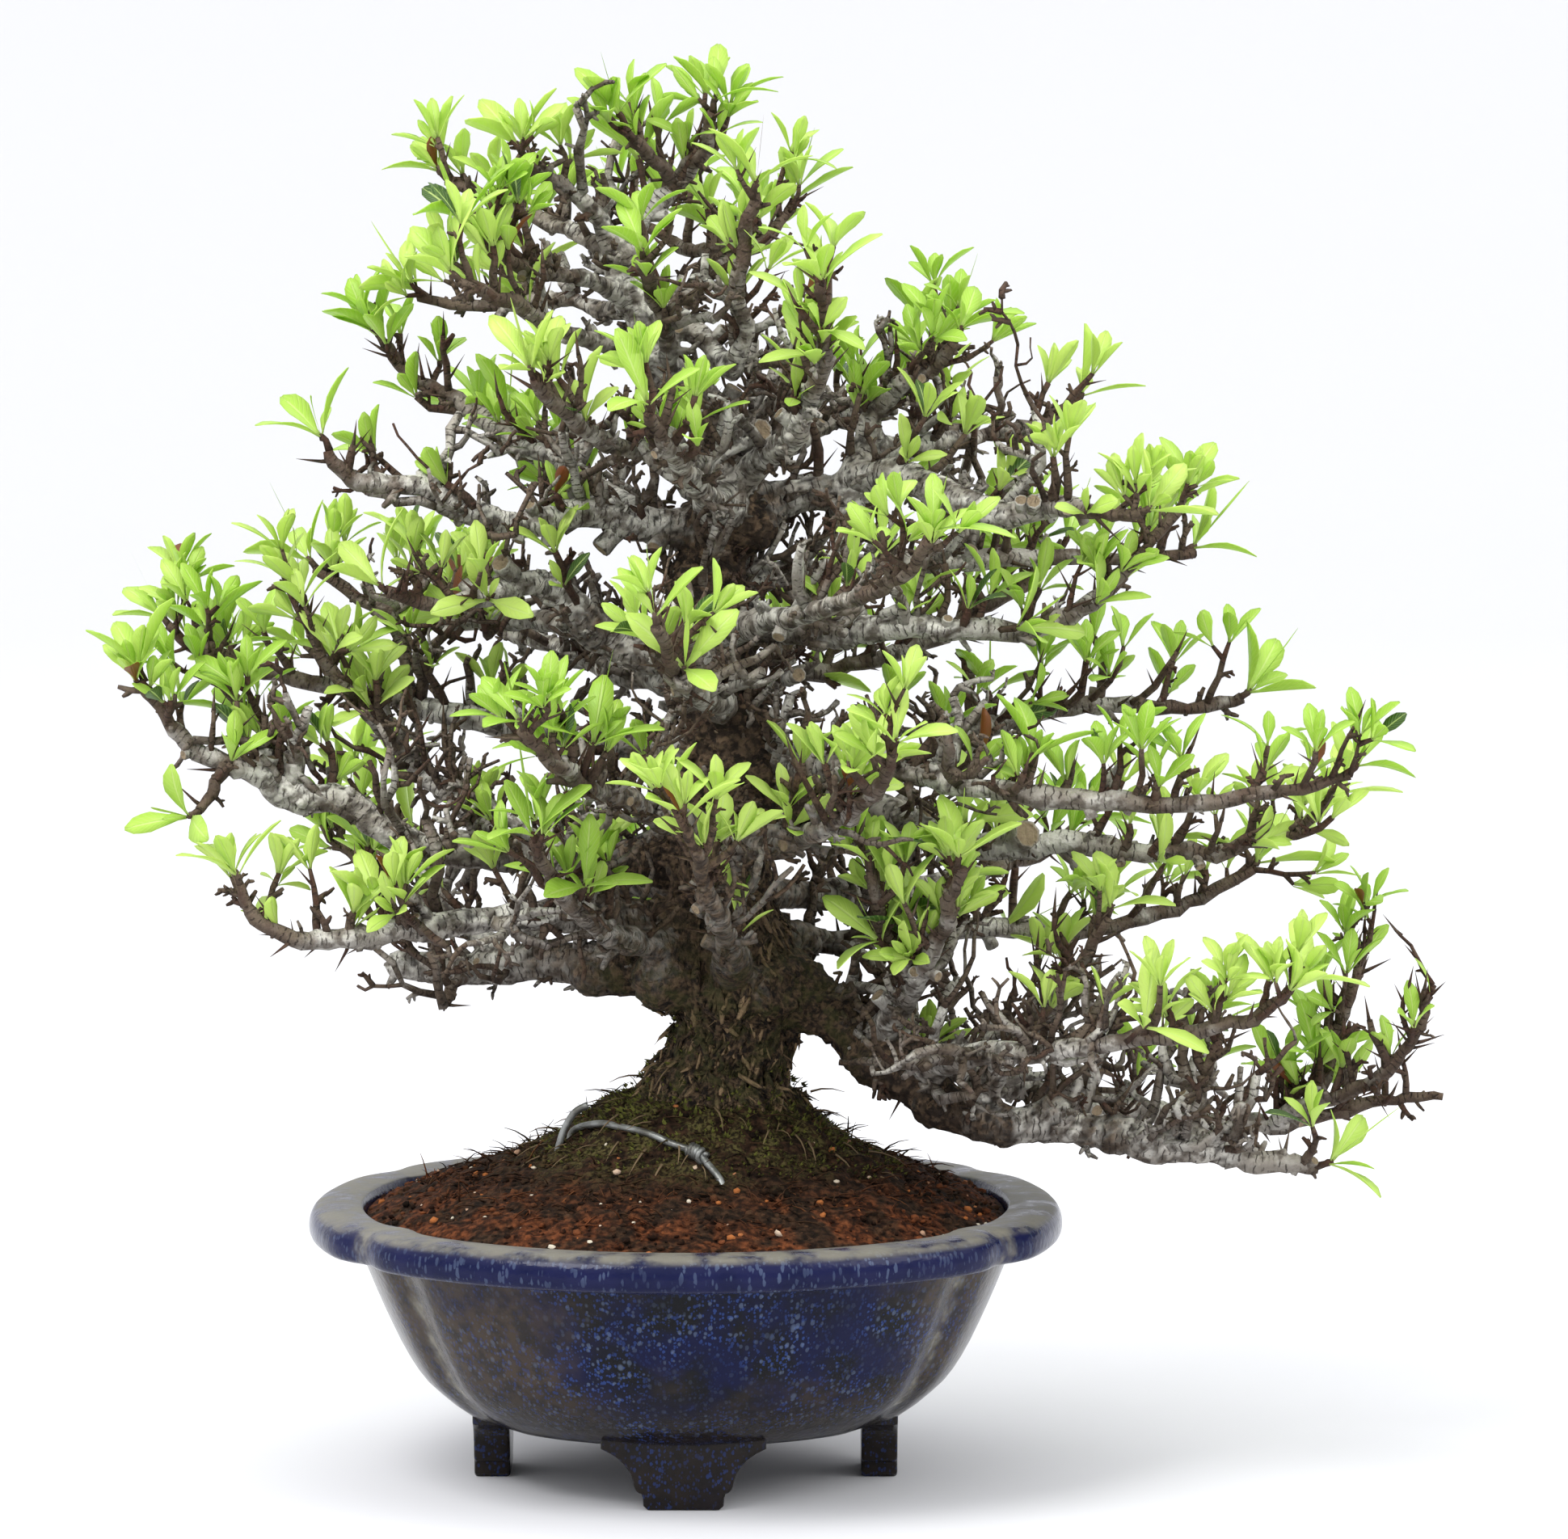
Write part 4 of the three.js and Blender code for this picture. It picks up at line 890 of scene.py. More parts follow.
        (-28, 284, 6, 5.6), (-44, 289, 22, 4.4), (-62, 290, 36, 3.8), (-84, 290, 50, 3.1),
        (-108, 296, 62, 2.5), (-128, 308, 68, 1.8),
    )),
    ("left_long", 6, (
        (12, 246, 2, 7.6), (-12, 247, 12, 6.4), (-40, 250, 22, 5.6), (-62, 254, 28, 5),
        (-86, 259, 32, 4.4), (-112, 265, 34, 3.8), (-140, 271, 33, 3), (-163, 278, 30, 2.3),
        (-178, 288, 28, 1.7),
    )),
    ("left_thick", 10, (
        (12, 206, 0, 10), (-20, 207, -4, 8.8), (-45, 208, -8, 7.8), (-66, 211, -12, 6.8),
        (-90, 212, -15, 6), (-106, 219, -17, 5.4), (-120, 228, -18, 5.2), (-131, 230, -18, 6),
        (-140, 231, -18, 5.4), (-146, 237, -19, 4.4), (-158, 240, -20, 3.7), (-171, 247, -20, 3.2),
        (-179, 257, -20, 2.6), (-187, 270, -20, 1.9),
    )),
    ("left_thick_low", 0, (
        (-160, 241, -20, 3), (-163, 232, -26, 2.2), (-168, 224, -32, 1.8),
    ), "left_thick"),
    ("left_thick_up", 2, (
        (-134, 234, -18, 4.4), (-142, 247, -8, 3.4), (-151, 258, -2, 2.8), (-160, 270, 0, 2.2),
        (-164, 283, 2, 1.7),
    )),
    ("left_mid_diag", 4, (
        (-62, 212, -12, 5.6), (-76, 225, 4, 4.4), (-92, 239, 14, 3.8), (-102, 250, 12, 3.3),
        (-114, 262, 6, 2.8), (-125, 277, 2, 2.4), (-131, 295, 0, 1.8),
    )),
    ("left_low_one", 5, (
        (8, 184, -6, 10), (-20, 187, -16, 6.8), (-46, 188, -28, 5.7), (-72, 187, -38, 5),
        (-98, 183, -46, 4.4), (-120, 180, -52, 3.8), (-136, 181, -56, 3.1), (-148, 187, -58, 2.5),
        (-154, 199, -58, 1.7),
    )),
    ("left_low_two", 5, (
        (8, 172, 0, 12.4), (-26, 173, 8, 9.2), (-52, 172, 16, 7.4), (-80, 171, 24, 6.3),
        (-103, 173, 30, 4.7),
    )),
    ("left_low_two_twig", 3, (
        (-74, 172, 22, 4), (-80, 163, 12, 2.8), (-84, 156, 4, 2),
    )),
    ("left_low_two_up", 3, (
        (-60, 173, 18, 5.2), (-76, 185, 38, 3.8), (-92, 195, 52, 3.1), (-108, 205, 62, 2.6),
        (-121, 214, 68, 1.8),
    )),
    ("left_low_front", 3, (
        (-4, 176, -10, 8.4), (-24, 182, -40, 4.9), (-36, 190, -62, 3.9), (-46, 200, -80, 3.1),
        (-52, 213, -94, 2),
    )),
    ("left_front", 4, (
        (10, 216, -8, 7.6), (-8, 223, -38, 5.2), (-20, 229, -64, 4.2), (-34, 233, -88, 3.4),
        (-46, 241, -108, 2.6), (-56, 252, -122, 1.9),
    )),
    ("front_low", 4, (
        (14, 168, -14, 8.4), (16, 177, -46, 5.2), (12, 187, -72, 4.2), (8, 197, -96, 3.4),
        (4, 208, -116, 2.6), (0, 219, -130, 1.9),
    )),
    ("front_right_low", 4, (
        (16, 210, -8, 6.8), (34, 214, -42, 5.2), (44, 217, -70, 4.2), (56, 223, -96, 3.3),
        (66, 233, -116, 2.6), (72, 245, -130, 1.9),
    )),
    ("front_mid", 4, (
        (14, 262, -10, 6.8), (10, 263, -44, 5.2), (4, 265, -74, 4.2), (0, 269, -102, 3.3),
        (-6, 277, -124, 2.6), (-10, 288, -138, 1.9),
    )),
    ("front_right_mid", 4, (
        (12, 286, -8, 6.8), (32, 290, -46, 4.7), (46, 293, -74, 3.9), (62, 299, -98, 3.1),
        (76, 307, -116, 2.5), (84, 317, -128, 1.8),
    )),
    ("front_high", 3, (
        (14, 328, -6, 6.4), (6, 334, -38, 4.6), (0, 341, -62, 3.8), (-6, 350, -84, 3),
        (-12, 361, -100, 2),
    )),
    ("back_low", 4, (
        (14, 172, 8, 10), (8, 174, 44, 6.8), (0, 176, 72, 5.7), (-10, 179, 100, 4.7),
        (-18, 184, 124, 3.8), (-24, 192, 146, 2.8), (-28, 203, 162, 1.9),
    )),
    ("back_right_low", 4, (
        (16, 196, 6, 7.6), (50, 196, 46, 5.7), (72, 198, 76, 4.7), (96, 202, 102, 3.8),
        (118, 208, 124, 2.8), (134, 218, 138, 1.9),
    )),
    ("back_left_low", 4, (
        (12, 198, 4, 7.6), (-26, 202, 42, 5.7), (-50, 206, 72, 4.7), (-74, 211, 98, 3.8),
        (-96, 219, 118, 2.8), (-112, 230, 130, 1.9),
    )),
    ("back_mid", 4, (
        (15, 252, 8, 7.6), (18, 257, 44, 5.8), (24, 262, 76, 4.9), (30, 267, 104, 3.9),
        (34, 275, 128, 3), (38, 286, 144, 1.9),
    )),
    ("back_left_mid", 4, (
        (12, 266, 4, 7.2), (-18, 271, 44, 5.2), (-38, 278, 72, 4.4), (-58, 285, 96, 3.6),
        (-76, 295, 114, 2.8), (-88, 308, 124, 1.9),
    )),
    ("back_right_mid", 0, (
        (31, 270, 114, 3.3), (52, 273, 114, 3.3), (76, 280, 112, 3.1), (98, 291, 112, 2.8),
        (116, 302, 116, 2.4), (130, 315, 120, 1.8),
    ), "back_mid"),
    ("back_high", 3, (
        (14, 322, 8, 7.2), (14, 330, 46, 4.7), (10, 338, 74, 3.9), (6, 347, 96, 3.1), (2, 359, 112, 2),
    )),
    ("back_left_high", 3, (
        (12, 312, 6, 6.8), (-14, 322, 42, 4.6), (-34, 332, 66, 3.8), (-54, 343, 84, 3),
        (-68, 357, 96, 2),
    )),
    ("back_right_high", 3, (
        (15, 340, 6, 6.4), (36, 350, 38, 4.6), (54, 361, 58, 3.8), (74, 372, 72, 3), (90, 386, 82, 2),
    )),
)
LIMB_STEPS = 5
BURRS = (
    (-20, 171, 6, 11), (-7, 167, -12, 12), (-32, 168, 4, 8), (28, 168, -10, 11), (36, 158, -6, 9),
    (12, 330, -8, 10), (24, 322, 0, 9), (0, 300, -4, 8), (22, 246, -8, 9), (2, 232, -6, 8), (60, 338, 8, 8),
    (-10, 208, 0, 9), (44, 228, 0, 7), (90, 122, -24, 8), (128, 121, -32, 7), (-62, 210, -11, 7),
)
CUT_STUBS = (
    (112, 326, -30, (0.95, -0.2, 0.28), 4.8, 17), (112, 214, -10, (0.45, -0.85, 0.3), 5.2, 13),
    (58, 334, 8, (-0.05, -0.6, -0.75), 6.6, 13), (36, 270, -20, (0.3, -0.9, 0.2), 2.8, 10),
    (20, 352, -6, (0.5, -0.8, 0.3), 4.2, 13), (-60, 306, -10, (-0.4, -0.7, 0.5), 3.6, 8),
)
VOXEL = 2.0
TRUNK_SIDES = 28
LIMB_SIDES = 14
SNAG_SIDES = 4
FIRST_CLEAR_RING = 3
SPUR_SPACING = 5.4
TRUNK_SPUR_SPACING = 1.8
SPURRED_TRUNK = slice(20, None)
OLD_THORNS = 0.1
SPURS_TO, KNOBS_TO = 0.62, 0.86
CUT_FROM_RADIUS = 3
SNAG_SPACING, SNAG_RISE = 7, 0.55
TRUNK_SNAG_SPACING = 4
SNAGGED_TRUNK = slice(50, 80)
SNAGS_OVER = 100
BIG_SNAGS_FROM_RADIUS = 3.8
BIG_SNAG_SHARE = 0.22
STRETCHES = 4
FORK_SHARE, SNAG_SPURS_FROM = 0.55, 0.84
FLAKY_HEIGHTS = (116, 214)
FLAKY_FROM_RADIUS = 12
FLAKE_SHARE = 0.42
ROOT_STRANDS = 110
STRAND_STEPS = 8
OLD_BARK_GIRTH = 16
MARKS = ("girth", "far", "cut", "tone")
BENDS = ((0.085, 2.1), (0.25, 1.2))
SWELLINGS = ((0.17, 0.24), (0.38, 0.24))
FURROW_PITCH = 0.21
BARK_RIPPLES = ((0.42, 0.8), (0.9, 0.35))
BEND_SEED = 3
FLAKE_SEED, STRAND_SEED = 79, 77
SPUR_SEED, TRUNK_SPUR_SEED = 7000, 6900
SNAG_SEED, TRUNK_SNAG_SEED = 7200, 6950
noise.seed_set(BEND_SEED)


def gnarled(points, steps, sway=1.0):
    """The rings of a limb through the points of its route, with the bends and swellings of real wood."""
    stops = curved([Vector((*seen_at(x, z, depth), radius)) for x, z, depth, radius in points], steps)
    for stop in stops:
        spot = stop.xyz
        wide, narrow = (noise.noise_vector(spot * pitch) * reach for pitch, reach in BENDS)
        stop.xyz = spot + (wide + narrow) * min(1, stop.w / 2.5) * sway
        stop.w *= rippled(spot, SWELLINGS, 0.96)
    return rings(stops)


def wood_skin(run, sides):
    """The bark of a stretch of a limb, marked with its girth and its distance along."""
    bm, (girth, far, _, _) = skin([ring[:4] for ring in run], sides, MARKS)
    for number, vert in enumerate(bm.verts):
        ring = run[number // sides]
        vert[girth], vert[far] = ring.radius, ring.far
    return bm


def twig(stops, sides=4):
    """A little twig through (x, y, z, radius) stops, with the marks of wood."""
    bm, _ = skin([ring[:4] for ring in rings([Vector(stop) for stop in stops])], sides, MARKS)
    return bm


def girthed(bm, girth):
    """Marks a shape of wood with one girth all over."""
    layer = bm.verts.layers.float["girth"]
    for vert in bm.verts:
        vert[layer] = girth
    return bm


def one_of(draw, shapes):
    """One of some shapes, by a draw."""
    return shapes[int(draw() * len(shapes))]


def spur(seed):
    """A fruiting spur as years of growth leave it: a knobbly stub with short blunt prongs."""
    draw = draws(seed)
    bm = bmesh.new()
    heights = [0, 3.6, 8]
    sway = [Vector((draw() - 0.5, 0, draw() - 0.5)) * 0.35 * height for height in heights]
    middle = [(bend.x, height, bend.z, girth) for bend, height, girth in zip(sway, heights, (1.6, 1.4, 0.9))]
    added(bm, twig(middle))
    for height in (3, 6)[: 1 + int(draw() * 2)]:
        turn = draw() * math.tau
        out = Vector((math.cos(turn), 0.7, math.sin(turn)))
        base = Vector((0, height, 0))
        reach = 2.6 + 2.4 * draw()
        added(bm, twig([(*base, 1.0), (*(base + out * reach * 0.6), 1.05), (*(base + out * reach), 0.6)], 3))
    return kept("spur", bm)


SPURS = [spur(seed) for seed in range(6)]
THORN = kept("thorn", twig([(0, -1, 0, 1.0), (0, 2, 0.1, 0.7), (0, 10, 1.4, 0.05)], 3))
knob = bmesh.new()
bmesh.ops.create_icosphere(knob, subdivisions=1, radius=1)
mark_layers(knob, MARKS)
for vert in knob.verts:
    vert.co *= rippled(vert.co, [(1.3, 0.3)], 1)
KNOB = kept("knob", knob)


def stub():
    """A cut branch: a collar of bark round a disc of bare wood, 1 long and 1 in radius."""
    bm = twig([(0, -0.2, 0, 1), (0, 0.3, 0, 0.92), (0, 0.85, 0, 1.02), (0, 1, 0, 0.94)], 8)
    end = max(bm.faces, key=lambda face: face.calc_center_median().y)
    bmesh.ops.inset_region(bm, faces=[end], thickness=0.16, depth=-0.03, use_even_offset=True)
    cut = bm.verts.layers.float["cut"]
    for vert in end.verts:
        vert[cut] = 1.0
    return kept("stub", bm)


STUB = stub()
FLAKE = kept("flake", twig([(0, -0.4, 0, 0.45), (0, 0.3, 0.15, 0.6), (0, 1, 0.7, 0.3)], 3))


def studded(bm, run, spacing, seed, thorny):
    """Grafts spurs, thorns, knobs and cut stubs all round a limb."""
    draw = draws(seed)
    far = run[0].far + spacing * draw()
    for ring, after in zip(run, run[1:]):
        while far < after.far:
            at = ring.at.lerp(after.at, (far - ring.far) / (after.far - ring.far))
            side, kind, size = around(ring, draw() * math.tau), draw(), draw()
            far += spacing * (0.5 + draw())
            lean = (side + ring.along * 0.35 + UP * 0.25).normalized()
            foot_at = at + side * ring.radius * 0.75
            if kind < thorny:
                scale = 0.7 + 0.6 * size
                graft(bm, THORN, towards(foot_at, lean, size=scale), girth=1.2, far=far)
            elif kind < SPURS_TO:
                scale = 0.5 + 0.7 * size
                shape = one_of(draw, SPURS)
                girth = min(ring.radius, 1.5 + 3 * draw())
                graft(bm, shape, towards(foot_at, lean, side, scale), girth=girth, far=far)
            elif kind < KNOBS_TO or ring.radius < CUT_FROM_RADIUS:
                scale = ring.radius * (0.24 + 0.28 * size)
                matrix = towards(at + side * ring.radius * 0.85, side, ring.along, scale)
                graft(bm, KNOB, matrix, girth=ring.radius, far=far)
            else:
                wide = min(1.5 + 2.2 * size, ring.radius * 0.6)
                matrix = towards(foot_at, lean, size=(wide, wide * (1.2 + size), wide))
                graft(bm, STUB, matrix, girth=ring.radius, far=far)


def snag(bm, at, direction, length, girth, draw, forks):
    """An old bare twig: crooked, knobbly and forked, with spurs, and a blunt or cut end."""
    heading, stops, joints = direction, [Vector((*at, girth))], []
    for stretch in range(STRETCHES):
        heading = (heading + stray(draw, 0.36) * 1.2).normalized()
        at = at + heading * length / STRETCHES
        radius = girth * (1 - 0.35 * (stretch + 1) / STRETCHES) * (0.8 + 0.45 * draw())
        stops.append(Vector((*at, radius)))
        joints.append((at, heading, radius))
    run = rings(stops)
    shown = girth + 2.4 * draw()
    added(bm, girthed(wood_skin(run, SNAG_SIDES), shown))
    for ring, (spot, way, radius) in zip(run[1:], joints):
        lean = (around(ring, draw() * math.tau) + way * 0.5 + UP * 0.2).normalized()
        kind = draw()
        if forks and kind < FORK_SHARE:
            snag(bm, spot, lean, length * (0.45 + 0.35 * draw()), radius * 0.8, draw, forks - 1)
        elif kind > SNAG_SPURS_FROM:
            scale = 0.4 + 0.4 * draw()
            graft(bm, one_of(draw, SPURS), towards(spot, lean, size=scale), girth=shown)


def snagged(bm, run, spacing, seed, rise=SNAG_RISE):
    """Old bare twigs all along a limb, with a longer and thicker one now and then."""
    draw = draws(seed)
    far = run[0].far + spacing * draw()
    for ring, after in zip(run, run[1:]):
        while far < after.far:
            at = ring.at.lerp(after.at, (far - ring.far) / (after.far - ring.far))
            side = around(ring, draw() * math.tau)
            lean = (side + ring.along * (0.9 - 0.7 * rise) + UP * rise).normalized()
            far += spacing * (0.4 + 1.2 * draw())
            if lean.z > 0.5 * rise - 0.3 and at.z > SNAGS_OVER:
                start = at + side * ring.radius * 0.6
                if ring.radius > BIG_SNAGS_FROM_RADIUS and draw() < BIG_SNAG_SHARE:
                    snag(bm, start, lean, 24 + 20 * draw(), 2 + 0.9 * draw(), draw, 2)
                else:
                    snag(bm, start, lean, 12 + 24 * draw(), 1.2 + 1.3 * draw() ** 2, draw, 1)


runs = {name: gnarled(route, LIMB_STEPS) for name, _, route, *_ in LIMBS}
trunk = gnarled(TRUNK, LIMB_STEPS, sway=0.8)
old_runs = [runs[name][: (old - 1) * LIMB_STEPS + 1] for name, old, *_ in LIMBS if old]


def trunk_at(height):
    """The trunk's ring nearest to a height."""
    return min(trunk, key=lambda ring: abs(ring.at.z - height))


wood = wood_skin(trunk, TRUNK_SIDES)
for run in old_runs:
    added(wood, wood_skin(run, LIMB_SIDES))
for x, z, depth, radius in BURRS:
    middle = Matrix.Translation(seen_at(x, z, depth))
    bmesh.ops.create_icosphere(wood, subdivisions=3, radius=radius, matrix=middle)
wood = modified(loose("wood", wood), "REMESH", mode="VOXEL", voxel_size=VOXEL)
for _ in range(2):
    bmesh.ops.smooth_vert(
        wood, verts=wood.verts, factor=0.6, use_axis_x=True, use_axis_y=True, use_axis_z=True)

core_rings = [ring for run in (trunk, *old_runs) for ring in run]
nearby = KDTree(len(core_rings))
for number, ring in enumerate(core_rings):
    nearby.insert(ring.at, number)
nearby.balance()
girth, far, _, tone = mark_layers(wood, MARKS)
wood.normal_update()
for vert in wood.verts:
    near = nearby.find_n(vert.co, 8)
    _, number, _ = min(near, key=lambda found: abs(found[2] - core_rings[found[1]].radius))
    ring = core_rings[number]
    vert[girth] = ring.radius
    vert[far] = ring.far + (vert.co - ring.at).dot(ring.along)
    thick = min(max((ring.radius - 5) / 11, 0), 1)
    lengthwise = Vector((vert.co.x, vert.co.y, vert.co.z * (1 - 0.55 * thick)))
    furrow = abs(noise.noise(lengthwise * FURROW_PITCH)) * 2 - 0.5
    rough = rippled(vert.co, BARK_RIPPLES, 0.8 * furrow)
    vert.co += vert.normal * rough * (0.35 + 1.75 * thick)
    # The relief's depth is kept as the tone mark, for the bark's painted shade in the hollows and painted
    # highlight on the lumps.
    vert[tone] = rough
wood.normal_update()

draw = draws(FLAKE_SEED)
flakes = []
low, high = FLAKY_HEIGHTS
for vert in wood.verts:
    if vert[girth] > FLAKY_FROM_RADIUS and low < vert.co.z < high and draw() < FLAKE_SHARE:
        along = Vector((draw() - 0.5, draw() - 0.5, -0.9))
        along -= vert.normal * along.dot(vert.normal)
        size = 0.7 + 0.9 * draw() ** 2
        shape = (size * (1.1 + 1.3 * draw()), size * (2.6 + 3.4 * draw()), size)
        flakes.append((towards(vert.co - vert.normal * 0.25, along, vert.normal, shape), 3.2 * draw() - 1))
for matrix, shade in flakes:
    graft(wood, FLAKE, matrix, girth=OLD_BARK_GIRTH, tone=shade)
for number, run in enumerate(old_runs):
    studded(wood, run[FIRST_CLEAR_RING:], SPUR_SPACING, SPUR_SEED + number, OLD_THORNS)
for number, (name, old, route, *_) in enumerate(LIMBS):
    if old == len(route):
        snagged(wood, runs[name][FIRST_CLEAR_RING:], SNAG_SPACING, SNAG_SEED + number)
studded(wood, trunk[SPURRED_TRUNK], TRUNK_SPUR_SPACING, TRUNK_SPUR_SEED, 0)
snagged(wood, trunk[SNAGGED_TRUNK], TRUNK_SNAG_SPACING, TRUNK_SNAG_SEED)

# Bark strands and old roots, drawn down the trunk from one height to a lower one.
draw = draws(STRAND_SEED)
for number in range(ROOT_STRANDS):
    turn = number * GOLDEN_ANGLE
    high = 150 + 48 * draw() ** 1.4
    low = max(high - 18 - 34 * draw(), 124)
    thick = 0.7 + 1.3 * draw() ** 2
    stops = []
    for step in range(STRAND_STEPS + 1):
        z = high + (low - high) * step / STRAND_STEPS
        near = trunk_at(z)
        turn += 0.24 * (draw() - 0.5)
        reach = near.radius - 1 + 1.4 * draw()
        spot = Vector((near.at.x + reach * math.cos(turn), near.at.y + reach * math.sin(turn), z))
        stops.append((*spot, thick * (0.35 if step in (0, STRAND_STEPS) else 0.7 + 0.6 * draw())))
    added(wood, girthed(twig(stops), OLD_BARK_GIRTH))
for x, z, depth, out, radius, length in CUT_STUBS:
    out = Vector(out).normalized()
    graft(wood, STUB, towards(seen_at(x, z, depth), out, size=(radius, length, radius)), girth=6)

bark, tree, shader = finish("firethorn_bark", 0.85, specular=0.25)
where = in_millimetres(tree)
height = axes(where)["Z"]
from_trunk = sideways(where, 13)
rough = mark(tree, "tone")
girth = scaled(grain(where, 9, 4), 3.4, maths("ADD", mark(tree, "girth"), -1.7))
tint = blended(between(girth, 1.2, 2.6), rgb(84, 58, 46), rgb(108, 92, 80))
tint = blended(between(girth, 2.4, 4.2), tint, rgb(236, 232, 222))
tint = covered(tint, patches(where, 15, 4, 0.42, 0.62), 0.58, rgb(130, 116, 98))
trunk_brown = blended(patches(where, 2.8, 6, 0.42, 0.6), rgb(38, 30, 23), rgb(112, 92, 72))
tint = covered(tint, between(girth, 5.8, 8.6), between(height, 410, 340), trunk_brown)
# Painted shade: darker in the hollows of the relief, by the depth that the tone mark holds; on the flakes,
# whose tone is drawn at random, it darkens some of them as their own colour.
tint = covered(tint, between(rough, 0.25, -0.75), 0.9, rgb(32, 24, 19))
tint = covered(tint, patches(where, 5.5, 6, 0.48, 0.61), 0.7, rgb(74, 62, 50))
# Painted shade: the bark is darker where it faces down, away from the light above.
tint = covered(tint, between(facing_up(tree), 0.35, -0.5), 0.45, rgb(52, 41, 34))
scar = scaled(grain(where, 2.6, 2), 6, times(mark(tree, "far"), 2.7))
scar = times(between(maths("SINE", scar), 0.7, 0.97), patches(where, 3.2, 1, 0.46, 0.58))
tint = covered(tint, scar, 0.75, rgb(50, 40, 34))
# Painted shade: the wood deep in the tree, near the trunk and low in the crown, is darkened towards the
# trunk's brown.
core = times(between(from_trunk, 58, 24), between(height, 300, 215))
tint = covered(tint, core, 0.55, trunk_brown)
low = times(between(height, 212, 160), between(from_trunk, 60, 34))
peaty = blended(patches(where, 1.8, 5, 0.44, 0.6), rgb(16, 12, 9), rgb(92, 74, 54))
tint = covered(tint, low, 0.7, peaty)
# Tan on the trunk's neck where the tone mark is high: on the flakes, whose tone is drawn at random, their
# own tan colour; elsewhere a painted highlight on the raised lumps of the relief.
tint = covered(tint, between(rough, 0.9, 1.5), low, rgb(146, 122, 92))
tint = covered(tint, times(low, patches(where, 6, 5, 0.44, 0.6)), 0.5, rgb(66, 68, 32))
bare = blended(grain(where, 1.5, 3), rgb(172, 154, 126), rgb(116, 98, 78))
put(blended(mark(tree, "cut"), tint, bare), shader.inputs["Base Color"])
relief(shader, maths("SUBTRACT", grain(where, 1.8, 6), times(scar, 0.4)), 1.9)
finished("old_wood", wood, [bark], ["trunk_and_limbs"])

# Leafy stems: the young outer part of each limb, in the old wood's bark, with its side twigs, thorns and
# tufts of new leaves, and the bare twigs of its inner part. Each grew out of the old wood and stands for
# its CAD node: the CAD's own shoots are all here, by the same draws, and finer ones between them.
YOUNG_SIDES, BRANCHLET_SIDES = 8, 5
LEAF_LENGTH = (19, 8)
LEAF_STATIONS = (0.14, 0.22, 0.48, 0.76, 0.96, 1.0, 0.78, 0.18)
LEAF_TOOTH = 0.07
LEAF_THICKNESS = 0.35 / 24
RED_LEAVES, DARK_LEAVES = 0.006, 0.03
LEAF_BASE = 2.5
SHOOT_SPACING = 7
TUFT_SPACING = 84
LEAFINESS, BARE_LEAFINESS = 0.95, 0.28
TWIG_SPACING, BARE_TWIG_SPACING, INNER_TWIG_SPACING = 8.5, 6, 17
TWIG_LENGTHS, LONG_TWIG_LENGTHS, INNER_TWIG_LENGTHS = (9, 26), (14, 38), (14, 34)
STUD_SPACING, BARE_STUD_SPACING = 4.5, 3.2
THORN_SHARE = 0.35
BARE_TIP = 1.5
BARE_ENDS = ("low_right_upper", "low_right_tip", "low_right_spikes", "low_right", "low_right_far_up")
OPEN_CROWN = 370
LONG_TWIGGED = "right_three"
KNOTTY_LIMBS = ("low_right", "low_right_upper", "low_right_front")
KNOTTY_SPACING, KNOTTY_RISE = 3.2, 0.15
room_low, room_high = (placed.inverted() @ corner for corner in cad_box)


def blade(bend, fold, twist, width):
    """A leaf 1 long: widest past its middle, toothed, folded along its midrib and bent back."""
    bm = bmesh.new()
    rows = len(LEAF_STATIONS) - 1
    bmesh.ops.create_grid(bm, x_segments=2, y_segments=rows, size=0.5)
    layer = bm.loops.layers.uv.new("blade")
    for face in bm.faces:
        for loop in face.loops:
            loop[layer].uv = loop.vert.co.xy + Vector((0.5, 0.5))
    for vert in bm.verts:
        share = vert.co.y + 0.5
        row = round(share * rows)
        tooth = 1 - LEAF_TOOTH * (row % 2)
        across = vert.co.x * LEAF_STATIONS[row] * tooth * width
        lift = abs(across) * fold - bend * share * share + across * twist * share
        vert.co = (across, share, lift)
    bmesh.ops.solidify(bm, geom=bm.faces, thickness=LEAF_THICKNESS)
    mark_layers(bm, MARKS)
    for face in bm.faces:
        face.material_index = 1
    return kept("blade", bm)


BLADES = [blade(*shape) for shape in (
    (0.2, 0.28, 0, 0.38), (0.12, 0.5, 0.3, 0.34), (0.3, 0.36, -0.35, 0.36),
    (0.02, 0.6, 0, 0.32), (0.38, 0.2, 0.25, 0.37), (0.16, 0.2, -0.2, 0.39),
)]


def fits(at, margin=2.5):
    """Whether a point is inside the tree's box."""
    return all(low + margin < value < high - margin for low, value, high in zip(room_low, at, room_high))


def leaf(bm, foot_at, along, face, long, draw, tone):
    """One leaf, left out where its tip would leave the tree's box."""
    if fits(foot_at + along * long):
        shape = one_of(draw, BLADES)
        age = draw()
        tone = 2.1 if age < RED_LEAVES else -1.1 if age < DARK_LEAVES else tone
        graft(bm, shape, towards(foot_at, along, face, long), tone=tone)


def leaned(up, outward, angle):
    """A direction from up towards outward, by an angle."""
    return (up * math.cos(angle) + outward * math.sin(angle)).normalized()


def tuft(bm, at, direction, draw, count, tone, scale=1):
    """Leaves out of one bud, turned round it by the golden angle, the inner ones upright and small."""
    up = (direction + UP * 0.6).normalized()
    side = up.cross(ASKEW).normalized()
    over = up.cross(side)
    start = draw() * math.tau
    for number in range(count):
        share = (number + 0.5) / count
        turn = start + number * GOLDEN_ANGLE + 0.5 * draw()
        outward = side * math.cos(turn) + over * math.sin(turn)
        along = leaned(up, outward, 0.12 + 0.64 * share + 0.25 * (draw() - 0.5))
        long = (8 + 8 * math.sqrt(share) + 4 * draw()) * scale
        leaf(bm, at + outward * 0.6, along, up - outward * 0.4, long, draw, tone + 0.4 * (draw() - 0.5))


